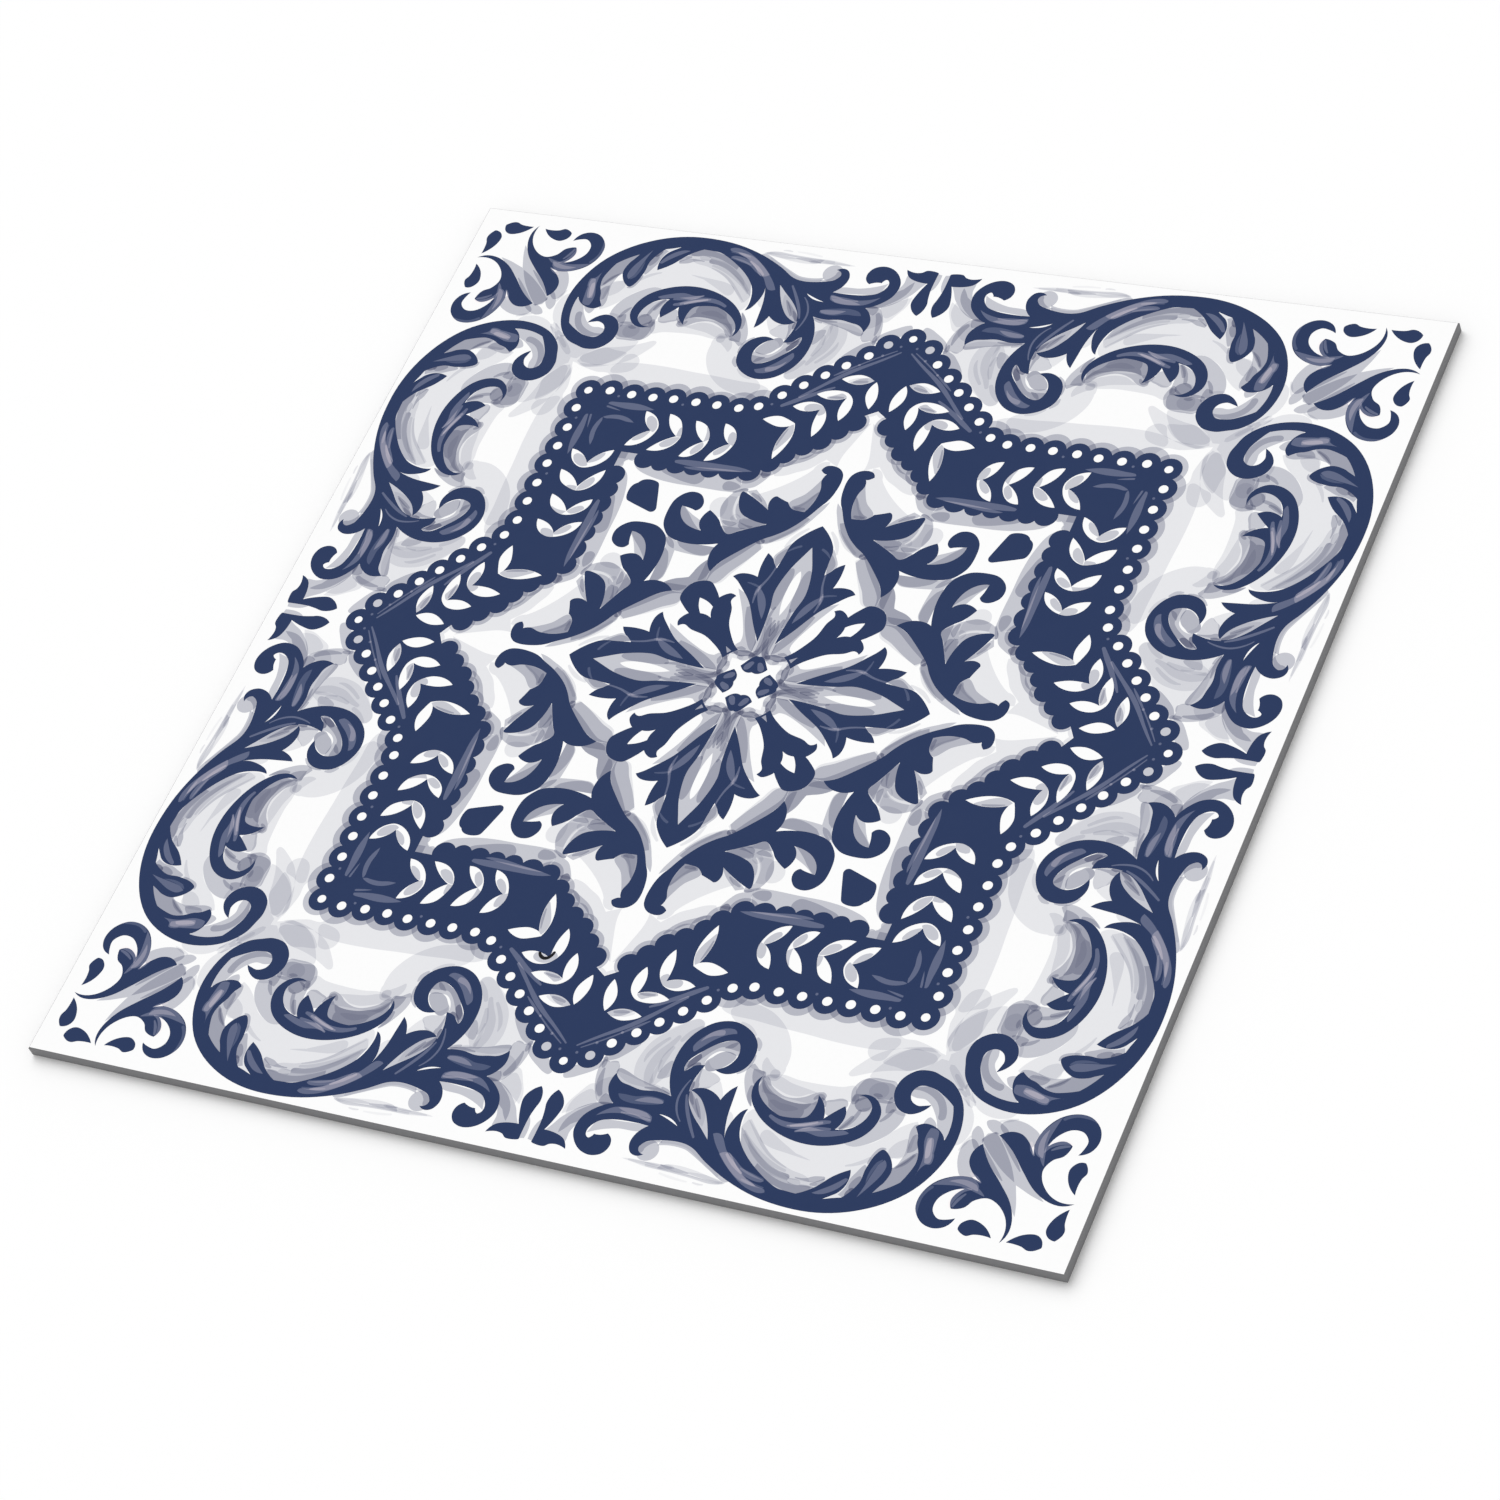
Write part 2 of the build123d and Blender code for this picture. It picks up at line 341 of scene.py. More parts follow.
# Pale patches between the scrolls and the star
loop(WASH, (9.6, 86.8), (10.6, 87.4), (12.3, 86.8), (11.2, 85.6), (10.2, 85.2))
stroke(WASH, (19.6, 82, 0.4), (20.6, 82.4, 0.7), (21.4, 82.8, 0.4))
for coat in (WASH, WASH):
    stroke(coat, (24.5, 81.7, 0.3), (24.65, 80.8, 0.7), (24.6, 79.8, 0.4))
stroke(MIST, (28.2, 66.9, 0.4), (29.8, 67.5, 0.8), (31.4, 68.7, 0.6))
stroke(WASH, (31.4, 76.5, 0.3), (32.5, 75.4, 0.6), (33, 74, 0.7), (33.1, 72.6, 0.4))
shape(MIST, [(25.2, 65), (25.8, 66.1), (27.6, 67.3)], [(30.6, 68.6)], [(32.4, 71)], [(32.4, 74.6)],
    [(36, 75.9), (38.6, 76.4)], [(39.3, 73.6), (39.2, 71.4), (38.6, 69.6), (37.2, 67.3), (35.4, 65.5),
    (32.9, 63.9), (30.4, 63.1)], [(26, 62.5)])
for coat in (MIST, MIST):
    stroke(coat, (33.3, 71.4, 0.4), (33, 70.4, 0.9), (32.2, 69.3, 0.5))
loop(MIST, (34.9, 73.6), (35.6, 75.2), (37, 76), (38.6, 75.9), (38.8, 74.8), (37.6, 74.2), (36.2, 73.2),
    (35.2, 72.4))
loop(MIST, (37.1, 75.6), (38.4, 75.9), (38.8, 75), (38.2, 74.3), (37.2, 74.5))
shape(MIST, [(23.4, 65), (25.4, 65.8), (30, 66), (35, 66.4), (40, 66.65), (45, 67), (50, 67.1), (53, 66.95),
    (55.6, 66.5)], [(57.5, 65.7)], [(64, 65.2)], [(63, 64.55), (61.5, 64.15), (59.5, 63.75), (56.8, 63.7)],
    [(55, 61)], [(24, 61)])
shape(MIST, [(50.4, 72.4), (51, 72.75), (53, 71.9), (55.2, 70.9), (58, 70.1), (60.4, 69.6)], [(64, 67.5)],
    [(64.6, 65.6)], [(62.4, 64.5), (60, 64.9), (57.5, 65.7), (55.5, 66.5), (53.6, 67.8), (51.9, 69.75),
    (50.6, 71.6)])
loop(MIST, (51.8, 67), (52.3, 68.2), (53.6, 69), (55.2, 68.6), (56, 66.8), (56.9, 65), (56.6, 64.1),
    (55.2, 64.1), (53.2, 64.7), (52.2, 65.6))
shape(MIST, [(54.2, 72.2), (57, 72.4), (60, 71.8)], [(61, 69.5)], [(63.8, 68.9)], [(66, 69.2), (68.6, 70.2),
    (70.4, 71.4)], [(72.6, 73.6), (73.6, 74)], [(73.4, 73.4)], [(65.4, 65.4)], [(64.3, 65.1), (63.2, 64.6),
    (61, 64.8), (59, 65.6), (57, 67.2), (55.6, 69), (54.3, 71.3)])
loop(MIST, (55.35, 69), (58, 69.4), (60.4, 69.65), (62.9, 68.05), (64.4, 66.8), (63.8, 65.8), (62, 65.45),
    (60.1, 65.25), (57.7, 66.3), (55.95, 67.9))
shape(MIST, [(64.2, 67.2), (63.4, 68), (62, 69.2)], [(66, 69.4)], [(70, 71.4)], [(71, 71)], [(66.3, 66.3)],
    [(65, 66.2)])
# Along the diagonal
shape(MIST, [(66.9, 67.6), (68, 69), (69.6, 70.5), (70.8, 71.3)], [(70.8, 70.8)], [(66.9, 66.9)])
shape(MIST, [(68.4, 68.9), (69.6, 70.2), (70.6, 71)], [(70.6, 70.6)], [(68.4, 68.4)])
shape(MIST, [(73.4, 81.4), (74.4, 80.6), (75, 78.6), (74.8, 76.4), (74, 74.6), (72.6, 73.2)], [(70.5, 72)],
    [(72.5, 76)])
stroke(MIST, (70, 71.2, 0.6), (71.2, 71.8, 1), (72.2, 72.8, 0.8), (72.9, 73.7, 0.3))
stroke(MIST, (70.2, 71.2, 0.6), (71, 71.5, 0.9), (71.7, 72.1, 0.5))
# Inside the scroll's upper curl
shape(WASH, [(62.3, 73.9), (63.6, 74.25), (65.2, 74.2), (66.6, 75), (67.4, 75.85), (68.65, 77.6),
    (69.2, 78.8)], [(70.6, 80.4)], [(71.6, 80.6)], [(72, 75)], [(66, 71.4)], [(62.4, 72.4)])
stroke(WASH, (62.8, 72.4, 0.8), (65.2, 72.4, 1.2), (67.6, 73.6, 1.3), (68.8, 75.2, 1.3),
    (69.25, 76.75, 1.35))
# In the corner
shape(WASH, [(77.9, 80.2), (80.6, 83.8), (84, 87.2), (86.4, 89.9)], [(88.1, 91.8), (87.45, 89.4),
    (86.7, 87.5)], [(86.15, 86.15)], [(78, 78)], [(77.4, 79.4)])
shape(WASH, [(77.4, 79.2), (79.2, 81.1), (81.2, 82.8), (83.2, 84.3)], [(85.7, 85.7)], [(78.2, 78.2)])
stroke(MIST, (74.4, 82, 0.3), (74.9, 80.6, 0.7), (75.4, 79.2, 0.4))
stroke(WASH, (78.4, 80.8, 0.4), (80.4, 83, 0.8), (82.6, 85, 0.5), (83.6, 85.9, 0.2))
loop(WASH, (76.6, 86.7), (75.3, 85), (74.6, 82.6), (74.8, 80.6), (76, 79.5), (77.4, 80.6), (77.6, 83.4),
    (79, 86))
loop(WASH, (77, 81.3), (75.8, 79.8), (75.3, 78.2), (75.8, 77), (76.8, 77.5), (77.8, 79.4))

# Pearls along the star's outer edge, from its tip to its corner on the diagonal
lobe_radius = 2.52
pearls = [(0, 80.85), (4.27, 78.8), (7.04, 75.7), (10.5, 72.8), (13.66, 69.95), (16.9, 67), (20.15, 64.05),
    (23.67, 60.8), (27.4, 59.78), (32, 59.78), (36.42, 59.78), (41.15, 59.78), (45.45, 59.52), (50, 59.52),
    (54.75, 59.78), (59.17, 59.17)]

# Scalloped inner edge of the star
inner_edge, edge_circles = scallops((2.2, 61.9), (3.85, 58.1, 1.8), (6.35, 55.65, 1), (9, 52.9, 1.25),
    (11.9, 51.2, 0.95), (14, 48.65, 0.9), (17.1, 46.5, 1.25), (20.85, 44.35, 1.8), (24.95, 44.35, 1.15),
    (28.6, 44.1, 1.15), (31.95, 43.9, 0.9), (35.65, 43.85, 0.95), (38.9, 43.95, 0.9), (42.75, 46.2, 1.95))

# Washes inside the star
# Halo along the scalloped edge, and the pale bands beside it
shape(MIST, [(0.2, 60.4), (1.8, 55.4), (2.7, 52)], [(2.7, 49.6)], [(5.4, 50.9), (6.7, 49.5), (8, 48.2),
    (10, 47.1), (12, 46)], [(13.9, 45.6), (14.6, 46.4)], [(16, 47.6)], [(4, 58)])
disc(WASH, *edge_circles[0][:2], edge_circles[0][2] + 0.55)
for cx, cy, radius in edge_circles[1:6]:
    disc(WASH, cx, cy, radius + 0.9)
disc(WASH, *edge_circles[6][:2], edge_circles[6][2] + 0.6)
stroke(MIST, (0, 62.9, 0.6), (0.8, 62.3, 0.7), (1.5, 61.9, 0.4))
for coat in (WASH, WASH):
    loop(coat, (14.8, 46.2), (15.6, 46.8), (16.6, 46.4), (16.6, 45.4), (15.8, 44.8), (15, 45.4))
stroke(WASH, (7, 52.9, 0.4), (8.2, 51.5, 0.9), (9.6, 50.3, 1), (11.4, 49.3, 1), (13, 48.1, 0.4))
shape(WASH, [(14.6, 45.8), (15.6, 43.9), (16.6, 42.6), (18, 41.9)], [(19.5, 41.2), (19.4, 42.6),
    (19.6, 43.6)], [(16, 46)])
shape(WASH, [(19.4, 42.6), (19.8, 40.9), (22, 40.6), (28, 40.7), (33, 40.77), (37.4, 41.38), (41.4, 42.85)],
    [(42.9, 45)], [(20.6, 45)])
loop(WASH, (19.4, 42.1), (20.6, 42.85), (22.5, 42.9), (23, 42), (22.5, 41), (21.3, 40.9), (20.1, 41.3))
shape(WASH, [(27.2, 42.6), (28.2, 41.3), (30.4, 41.35), (33.4, 42.05), (36.4, 43.3)], [(36, 45)],
    [(27.4, 45)])
shape(WASH, [(42.6, 46.4)], [(46.3, 46.3)], [(44.4, 44.4)], [(43.9, 44.7), (43, 44.5)])
lay(MIST, [(42.6, 46.4), (46.3, 46.3), (44.3, 44.3), (43, 45)])
lay(WASH, [(44.7, 46.4), (46.3, 46.3), (44.7, 44.7)])
# Behind the spray
shape(MIST, [(4.4, 50.4), (6.1, 50)], [(7, 48.3), (8, 46.9), (10.3, 44.6), (13, 42.5)], [(15.4, 41)],
    [(12, 37)], [(4.8, 38)], [(3.6, 43)])
shape(WASH, [(4.4, 46.4), (5.1, 44.7), (6.2, 42.6), (8.5, 40.1)], [(6, 38)], [(4.4, 38.4)], [(3.4, 43)])
shape(WASH, [(3.8, 43.6), (4.6, 42.4), (5.4, 41), (6.6, 39.9), (7.6, 39.4)], [(6.6, 38.2)], [(4.4, 38.4)],
    [(3.4, 42)])
stroke(WASH, (5.2, 39.2, 0.6), (6.2, 39.1, 0.8), (7, 39.2, 0.4))
stroke(MIST, (3.9, 43.2, 0.4), (4.9, 41.6, 0.6), (6, 40, 0.7), (6.8, 39.2, 0.9))
shape(WASH, [(11.8, 37.7), (13, 39.5), (15, 41.2)], [(16, 42)], [(17.6, 41.4)], [(15, 39.4)])
stroke(WASH, (14, 39.6, 0.4), (15.2, 40.4, 0.8), (16.4, 41, 0.5))
shape(WASH, [(10.8, 34.8), (14.6, 36.2), (17.4, 38.6), (17.7, 41.9)], [(19.2, 41.5), (20.3, 40.4),
    (21.1, 38.6), (21.2, 36.8), (20.6, 35.2)], [(20, 34)], [(17.5, 31)])
shape(MIST, [(18.9, 39.8)], [(20.5, 39.8), (21.1, 38.4), (21.2, 36.8), (20.7, 35.3), (20, 34.6)],
    [(17.4, 34.7), (18.5, 36), (18.9, 37.4)])
stroke(WASH, (17.8, 41.7, 0.5), (19, 41.3, 0.6), (20.2, 40.7, 0.4))
shape(WASH, [(11, 34.8), (14.6, 35.4), (16.4, 34.9)], [(16.2, 34.2), (14.8, 33.6), (13, 33.2)])
stroke(MIST, (15.8, 35.4, 0.8), (17.2, 36.4, 1.2), (18.2, 38, 0.6))
loop(WASH, (16.6, 33.9), (18.2, 34.2), (19.7, 34.1), (19, 33.4), (17.4, 33.1))
shape(WASH, [(14.4, 33.2), (16.4, 33), (19.4, 32.9)], [(19.8, 32.4)], [(17.5, 31)])
shape(MIST, [(11.4, 34.7), (14.6, 35.2), (16, 34.8)], [(16.6, 34)], [(18.6, 32.4)], [(17.5, 31)],
    [(13.6, 32.8)])
shape(WASH, [(13.2, 33.8), (14.6, 33.9), (16.2, 34.2)], [(16, 33.2), (14.6, 32.8)])
loop(MIST, (16.2, 34.2), (16.6, 35.6), (17.8, 36), (18.4, 34.8), (17.4, 34))
stroke(CHALK, (18.65, 39.8, 0.6), (18.55, 37.6, 0.5), (17.9, 35.8, 0.35), (17, 34.8, 0.2))
loop(MIST, (20.8, 39.2), (22.4, 39.1), (23.3, 38.2), (23.5, 37), (22.8, 35.6), (20.4, 34.8), (20, 37))
shape(WASH, [(23, 31), (23.9, 33.3), (25, 33.95), (26, 34.45), (27.2, 35.2), (28.8, 36.3)], [(28.6, 34),
    (26.4, 32)])
shape(WASH, [(23.2, 31.2), (25.4, 33.1), (27, 34.8)], [(28.8, 36.3)], [(28.6, 34), (26.4, 32)])
# Along the spray's inner edge
shape(WASH, [(0.8, 41.6), (1.2, 40), (2.05, 38.2), (3, 36.3), (4.8, 33.9), (7.2, 31.7), (9.4, 30.3)],
    [(10.6, 31.2)], [(3, 39.6)])
shape(WASH, [(3, 37.2), (4.2, 35.1), (6.3, 32.7), (9.4, 30.5)], [(10.6, 31.2)], [(4, 37.6)])
stroke(MIST, (3.6, 35.6, 0.5), (6.4, 32.6, 1.3), (8.4, 31.2, 0.8))
for coat in (WASH, WASH):
    loop(coat, (9.6, 30.4), (9.7, 31.2), (10.6, 31.2), (11.2, 30.4), (10.6, 30.1))
shape(WASH, [(9.5, 29.2), (11.2, 26.2), (13.2, 23.3), (15, 20.3)], [(17.2, 20.2)], [(17.2, 22.8),
    (15, 26.6), (12.6, 29.4)], [(10.6, 30.9)])
shape(MIST, [(9.3, 29.6), (11, 26.2), (12.8, 23), (14.4, 20.3)], [(17.2, 20.2)], [(17.2, 22.8), (15, 26.6),
    (12.6, 29.4)], [(10.6, 30.9)])
shape(WASH, [(10.4, 30.9), (12.4, 28), (13.8, 26.2), (15.7, 23.8), (16.6, 22.3)], [(16.85, 20.4)],
    [(17.1, 20.4)], [(17.2, 22.9), (16, 25.4)], [(12, 30.2)])
# Square frame round the diagonal between spray and bud
shape(WASH, [(18.4, 28)], [(26.6, 28.1)], [(29.3, 29.4)], [(27.5, 27.5)], [(26, 26), (23.5, 25.72),
    (21.5, 25.6), (19.8, 25.7)], [(18.8, 26.4)])
shape(WASH, [(18.4, 28)], [(26.4, 28.1)], [(25.5, 27.1), (24.5, 26.6), (23, 26.05), (21.3, 25.75),
    (19.8, 25.9)], [(18.9, 26.5)])
shape(WASH, [(26.4, 26.6), (27, 27.8), (28.6, 29)], [(28.6, 28.6), (27.6, 27.6), (26.4, 26.4)])
for coat in (WASH, WASH):
    shape(coat, [(18.5, 25.3), (19.4, 24.2), (20, 23), (20.4, 21.6)], [(20.75, 20.6)], [(19.5, 19.5)],
        [(17.2, 20.3)], [(17.25, 22.9)])
shape(WASH, [(17.2, 23), (17.35, 21.8), (17.9, 20.6)], [(18.75, 20.2)], [(18.75, 24.6)])
# Behind the petal
shape(WASH, [(4.3, 31.4), (5.4, 29.8), (6.4, 27.8)], [(5, 25.6)], [(4.2, 29)])
shape(WASH, [(4.4, 30.2), (5.2, 29.4), (6, 27.8)], [(5, 25.6)], [(4.2, 29)])
stroke(MIST, (2.4, 35, 0.5), (4.2, 32.8, 0.9), (5.2, 30.4, 0.4))
shape(WASH, [(0, 31.8), (2.4, 26), (3.4, 20.6), (2.6, 14)], [(2, 6.9)], [(0, 6.9)], [(0, 15.4),
    (0.75, 18.4), (0.9, 22), (0.5, 24.6)], [(0, 25.6)])
loop(WASH, (1, 25), (1.6, 26), (2.6, 25.2), (3.3, 20.6), (2.5, 17), (1.6, 16.4), (1.1, 18), (0.9, 21.6))
for side in (1, -1):
    stroke(WASH, (side * 1.3, 14.5, 0.6), (side * 0.9, 12.2, 1.1), (side * 0.2, 9.6, 1.1),
        (side * -0.6, 7.3, 1.2), (side * -1.5, 6, 1.4))
    stroke(WASH, (side * 0.4, 14.2, 0.4), (side * 0.7, 12.2, 0.8), (side * 0.5, 9.4, 0.8),
        (side * 0.4, 7.4, 1), (side * 1.4, 6.2, 1.4))
    stroke(WASH, (side * 1.7, 12.6, 0.4), (side * 1.1, 9.6, 0.7), (side * 1, 7.2, 0.8),
        (side * 1.2, 6, 0.8))
shape(WASH, [(1.9, 6.6), (3.4, 6.5), (5, 6.9)], [(5.6, 7.9)], [(4.95, 8.6), (4.95, 9.6), (5.3, 10.8),
    (6.1, 12.6), (7.4, 15.2), (8.8, 17.6)], [(10.2, 19.9)], [(8, 18.9)], [(6, 16.6)], [(1.9, 9)])
shape(WASH, [(1.9, 6.9), (2.7, 7.4), (3.8, 8.9), (4.8, 10.6), (6, 13.2)], [(6.9, 16.2)], [(6, 16.6)],
    [(1.9, 9)])
for coat in (WASH, WASH, MIST):
    stroke(coat, (1.4, 6.2, 0.8), (2.6, 6.4, 1.2), (3.8, 6.2, 1.4), (4.9, 6.4, 0.9))
stroke(WASH, (1.9, 5.6, 0.8), (2.9, 5.3, 1.2), (3.8, 5.4, 0.8))
stroke(MIST, (3.4, 5.3, 1), (5.6, 5.7, 1.2))
stroke(WASH, (-0.8, 6.4, 0.9), (0, 6.45, 1), (0.8, 6.4, 0.9))
for coat in (WASH, WASH):
    stroke(coat, (0, 13.6, 0.3), (0.05, 12.2, 0.8), (0, 10.8, 0.4))
stroke(WASH, (4.6, 6.2, 0.6), (5.3, 6.2, 0.8), (5.9, 6.2, 0.6))
stroke(WASH, (3.4, 7.2, 0.4), (4.2, 7.3, 0.8), (4.9, 7.2, 0.4))
stroke(WASH, (1.5, 17, 0.4), (1.8, 15, 0.6), (1.6, 13, 0.4))

# Halo behind the star's outer edge: two touches by the tip, then a disc behind each lobe
shape(WASH, [(1.1, 83.2), (1.5, 83.9), (2.6, 83.7), (4.2, 82.8), (6, 81.6), (7, 80.6)], [(7.4, 79.2)],
    [(4, 80)], [(1.5, 82)])
shape(WASH, [(7, 79.4), (8.4, 78.85), (9.4, 78.3), (10.3, 77.4), (11.1, 76.5), (12, 75.3)], [(12.4, 74.6)],
    [(9, 75)], [(7, 78)])
for x, y, radius in ((23.7, 61.1, 3.7), (27.3, 60.1, 3.5), (31.7, 58.3, 4.75), (36.3, 60.3, 3.4),
    (41.2, 60.2, 3.35), (45.6, 58.9, 4.3), (50.5, 58.8, 4.25), (55.1, 60, 3.75), (59.3, 59.3, 3.4)):
    disc(WASH, x, y, radius)

# Star
lay(NAVY, pearls + [(46.2, 46.2)] + inner_edge[::-1] + [(0, 63.3)])
for x, y in pearls:
    disc(NAVY, x, y, lobe_radius)

# Navy shapes inside the star: half petal on the axis, seed, bud on the diagonal, spray, pebble
shape(NAVY, [(0, 36.1), (2.8, 33.5), (4.2, 31.2), (4.5, 28.5)], [(4.8, 25.5), (5.6, 26.35), (6.4, 27.5)],
    [(7.8, 28.5), (8, 26.5), (7.9, 24.5)], [(7.6, 23), (9.6, 23.4), (11.3, 23.15)], [(12.35, 22.3),
    (11.1, 21.5), (9.75, 20.25), (7, 17.4), (3.95, 12.45)], [(1.75, 9.2), (1.9, 12.5), (2.4, 16.8),
    (3.05, 20.5), (2.2, 25.6), (0.8, 29.2)], [(0, 31.1)])
shape(NAVY, [(0, 6.05), (0.55, 6.15), (1.1, 5.8), (1.7, 5.1), (2.15, 4.4)], [(2.7, 3.6), (2.2, 3),
    (1.6, 2.55), (0.9, 2.35)], [(0, 2.55)], [(-0.5, 3)], [(-0.5, 5.6)])
shape(NAVY, [(4.6, 6.8), (5.8, 7.85), (6.9, 9.2), (8.7, 12.15), (9.55, 15.35), (10.4, 17.1)],
    [(9.85, 18.15), (11, 18.6), (12, 18.2)], [(12.95, 17.3), (14.3, 19), (15.9, 20.4), (17.6, 20.4),
    (19.45, 19.45), (20.4, 17.6), (20.4, 15.9), (19, 14.3)], [(17.3, 12.95), (18.2, 12), (18.6, 11)],
    [(18.15, 9.85), (17.1, 10.4), (15.35, 9.55), (12.15, 8.7), (9.2, 6.9), (7.85, 5.8)], [(6.8, 4.6),
    (6.15, 5.45), (5.8, 5.8), (5.45, 6.15)])
shape(PAPER, [(12.65, 12.65), (13.2, 13.9)], [(13.3, 15.1), (14.9, 16.1), (16.5, 16.6)], [(16.6, 16.6),
    (16.1, 14.9)], [(15.1, 13.3), (13.9, 13.2)])
shape(NAVY, [(5.4, 48.4), (4.8, 49.4), (3.6, 49.7), (2, 49.3), (0.9, 48.2), (0.5, 46.4), (0.84, 43.2),
    (1.45, 41.5), (2.25, 40.2), (3.6, 37.7), (6.05, 34.45), (8.2, 32.6), (10.3, 31.2), (14, 27.5),
    (16.1, 25)], [(17.2, 22.6), (18.6, 24.6), (18.9, 27)], [(18.3, 28.9), (20.5, 28.3), (23.5, 27.92),
    (26.5, 28.2), (28.5, 28.9), (29.55, 29.75), (30.8, 31.65), (31.2, 34.5), (30.85, 37.2), (29.5, 38.92),
    (28, 39.53), (26.15, 39.13), (24.95, 37.5), (25, 36.1)], [(25.8, 35.4), (26.9, 35.75), (28.3, 36)],
    [(28.8, 36.1), (28.3, 34.1), (26.4, 32.2)], [(22.85, 31.2), (24, 33.4)], [(23, 36), (20.4, 34.2),
    (19.3, 32.8), (17.4, 31.3), (15.5, 32.3)], [(10.8, 34.7), (14.2, 35.2), (16.75, 36.35), (18.25, 38.65),
    (18.6, 41)], [(18.2, 41.2), (15.35, 39.9)], [(11.9, 37.9), (12.4, 39.6), (12, 40.9)], [(11.4, 41.2),
    (9.9, 40.6)], [(8.7, 40.2), (7.4, 38.9), (5.9, 38.65)], [(4.75, 38.6), (3.8, 41.45), (3.8, 44.2),
    (4.4, 46.2)], [(4, 47.6), (4.6, 47.75)])
shape(NAVY, [(33.65, 34.72), (34.29, 36.68), (35.14, 39.18), (35.62, 40.28), (36.4, 40.7), (38, 40.85),
    (39.1, 40.5)], [(39.75, 39.75)], [(40.5, 39.1), (40.85, 38), (40.7, 36.4), (40.28, 35.62),
    (39.18, 35.14), (36.68, 34.29), (34.72, 33.65), (33.87, 33.87)])

# Navy scrolls outside the star: short leaf, hooked leaf, leaf under it, large scroll, inner scroll
shape(NAVY, [(1.2, 96.95), (1.7, 97.18), (3.7, 97.28), (4.6, 96.65), (5.9, 96.45)], [(7.75, 96.95),
    (6.8, 95.3), (5.3, 94.55)], [(2.5, 94.2), (3.6, 91.1), (3.85, 89.1), (3, 87.4)], [(1.65, 86.35),
    (0.9, 87.5), (0.6, 89.2), (0.9, 90.6), (1.2, 92.5), (1.25, 95)])
shape(NAVY, [(13.9, 92.45), (14.95, 93.4), (15.2, 94.85), (14.4, 96.35), (12.6, 97.05), (10.55, 96.65),
    (8.7, 95.2), (7.6, 92.95), (8.1, 90.1), (10.2, 87.8)], [(12.3, 86.7)], [(21.5, 86.5)], [(20.3, 89.5),
    (17, 89.4), (13.6, 89.7), (11.3, 90.5), (10.05, 92.2), (10.1, 93.4), (10.8, 93.95)], [(11.5, 93.05),
    (12.6, 93)])
shape(NAVY, [(12.3, 86.7), (10.9, 85.4), (10, 83.4)], [(10.4, 81), (11.85, 82.38), (13.8, 82.82),
    (16, 83.2), (19, 82.85)], [(21.8, 83.2)], [(22.5, 86.7)])
shape(NAVY, [(20.3, 89.5), (18.8, 91.25), (18.4, 93.3), (19.2, 94.95), (20.5, 95.4)], [(21.7, 94.85),
    (20.7, 94.5), (20.35, 93.75), (21.1, 92.5), (24, 91.55), (27.3, 91.28), (29.6, 91.8), (32.95, 93.87),
    (38, 96.3), (44, 98.12), (50, 98.8), (55.3, 98.55), (60.55, 97.2), (65.78, 94.48), (69.68, 90.88),
    (72.2, 86.4), (73.4, 81.2), (72.95, 76.5), (71.4, 72.9), (68.9, 70.35), (66.3, 69.3), (64.4, 68.8),
    (61.65, 69.32), (59.72, 71.6), (59.55, 74.3), (61.1, 76.75), (63.4, 77.5), (65.3, 76.7)], [(66.65, 75),
    (65.6, 75.35), (64.4, 75.6), (62.98, 74.9), (62.45, 73.4), (63.4, 71.92), (66, 71.95), (68.45, 73.1)],
    [(70.35, 74.4), (71.2, 77), (71.45, 79.5)], [(71.3, 80.85), (70.2, 79.5), (68.4, 78.62),
    (66.65, 78.62)], [(65.6, 79.5), (66.65, 81.1), (67, 82.3), (67.9, 84.1), (68.25, 85.9), (67.8, 88)],
    [(67.05, 90), (65.35, 91.5)], [(63.2, 92.9), (63.9, 91.5), (64.4, 90.6), (64.8, 88.2), (63.6, 85.9),
    (61.9, 84.8), (60.95, 86), (60.35, 89), (60.3, 91.6)], [(58.4, 94.9), (57, 95.3)], [(55.4, 95.85),
    (56.5, 95), (57.45, 94.2), (58.2, 92.8), (58.35, 91.2)], [(57.95, 89.6), (55.5, 91.4), (53.1, 94.2)],
    [(50.5, 95.95), (48.6, 95.85), (46.8, 95.65), (42.9, 93.65), (39.1, 90.8), (36.8, 88), (35.9, 84.8)],
    [(36.05, 82.6), (35.3, 83.1), (34.6, 84.3), (34, 86.9)], [(34.25, 88.7), (33.2, 85.2), (32.75, 81.4)],
    [(32.5, 78.8), (31.4, 80)], [(30.6, 82), (28.8, 80.85), (26.8, 80.45)], [(25.05, 81.05)], [(24.5, 81.7),
    (24.4, 79.5), (24.75, 77.8)], [(25.2, 76.25), (23.5, 76.65), (22.6, 77.6)], [(22.05, 78.05),
    (21.75, 76.9), (22.1, 75.7), (23.7, 73.7), (26, 71.55), (28.4, 70.55), (29.4, 70.9), (30, 72.1),
    (30.1, 73.6), (29.2, 75.4)], [(27.2, 76.65), (29.3, 77.1), (31.2, 76.4), (32.5, 75), (33.05, 72.8),
    (32.6, 70.4), (30.7, 68.3), (27.1, 67), (23.55, 67.9), (20.7, 70.85), (19.5, 74.5), (19.8, 79)],
    [(21.8, 83.2)], [(20, 86.5)])
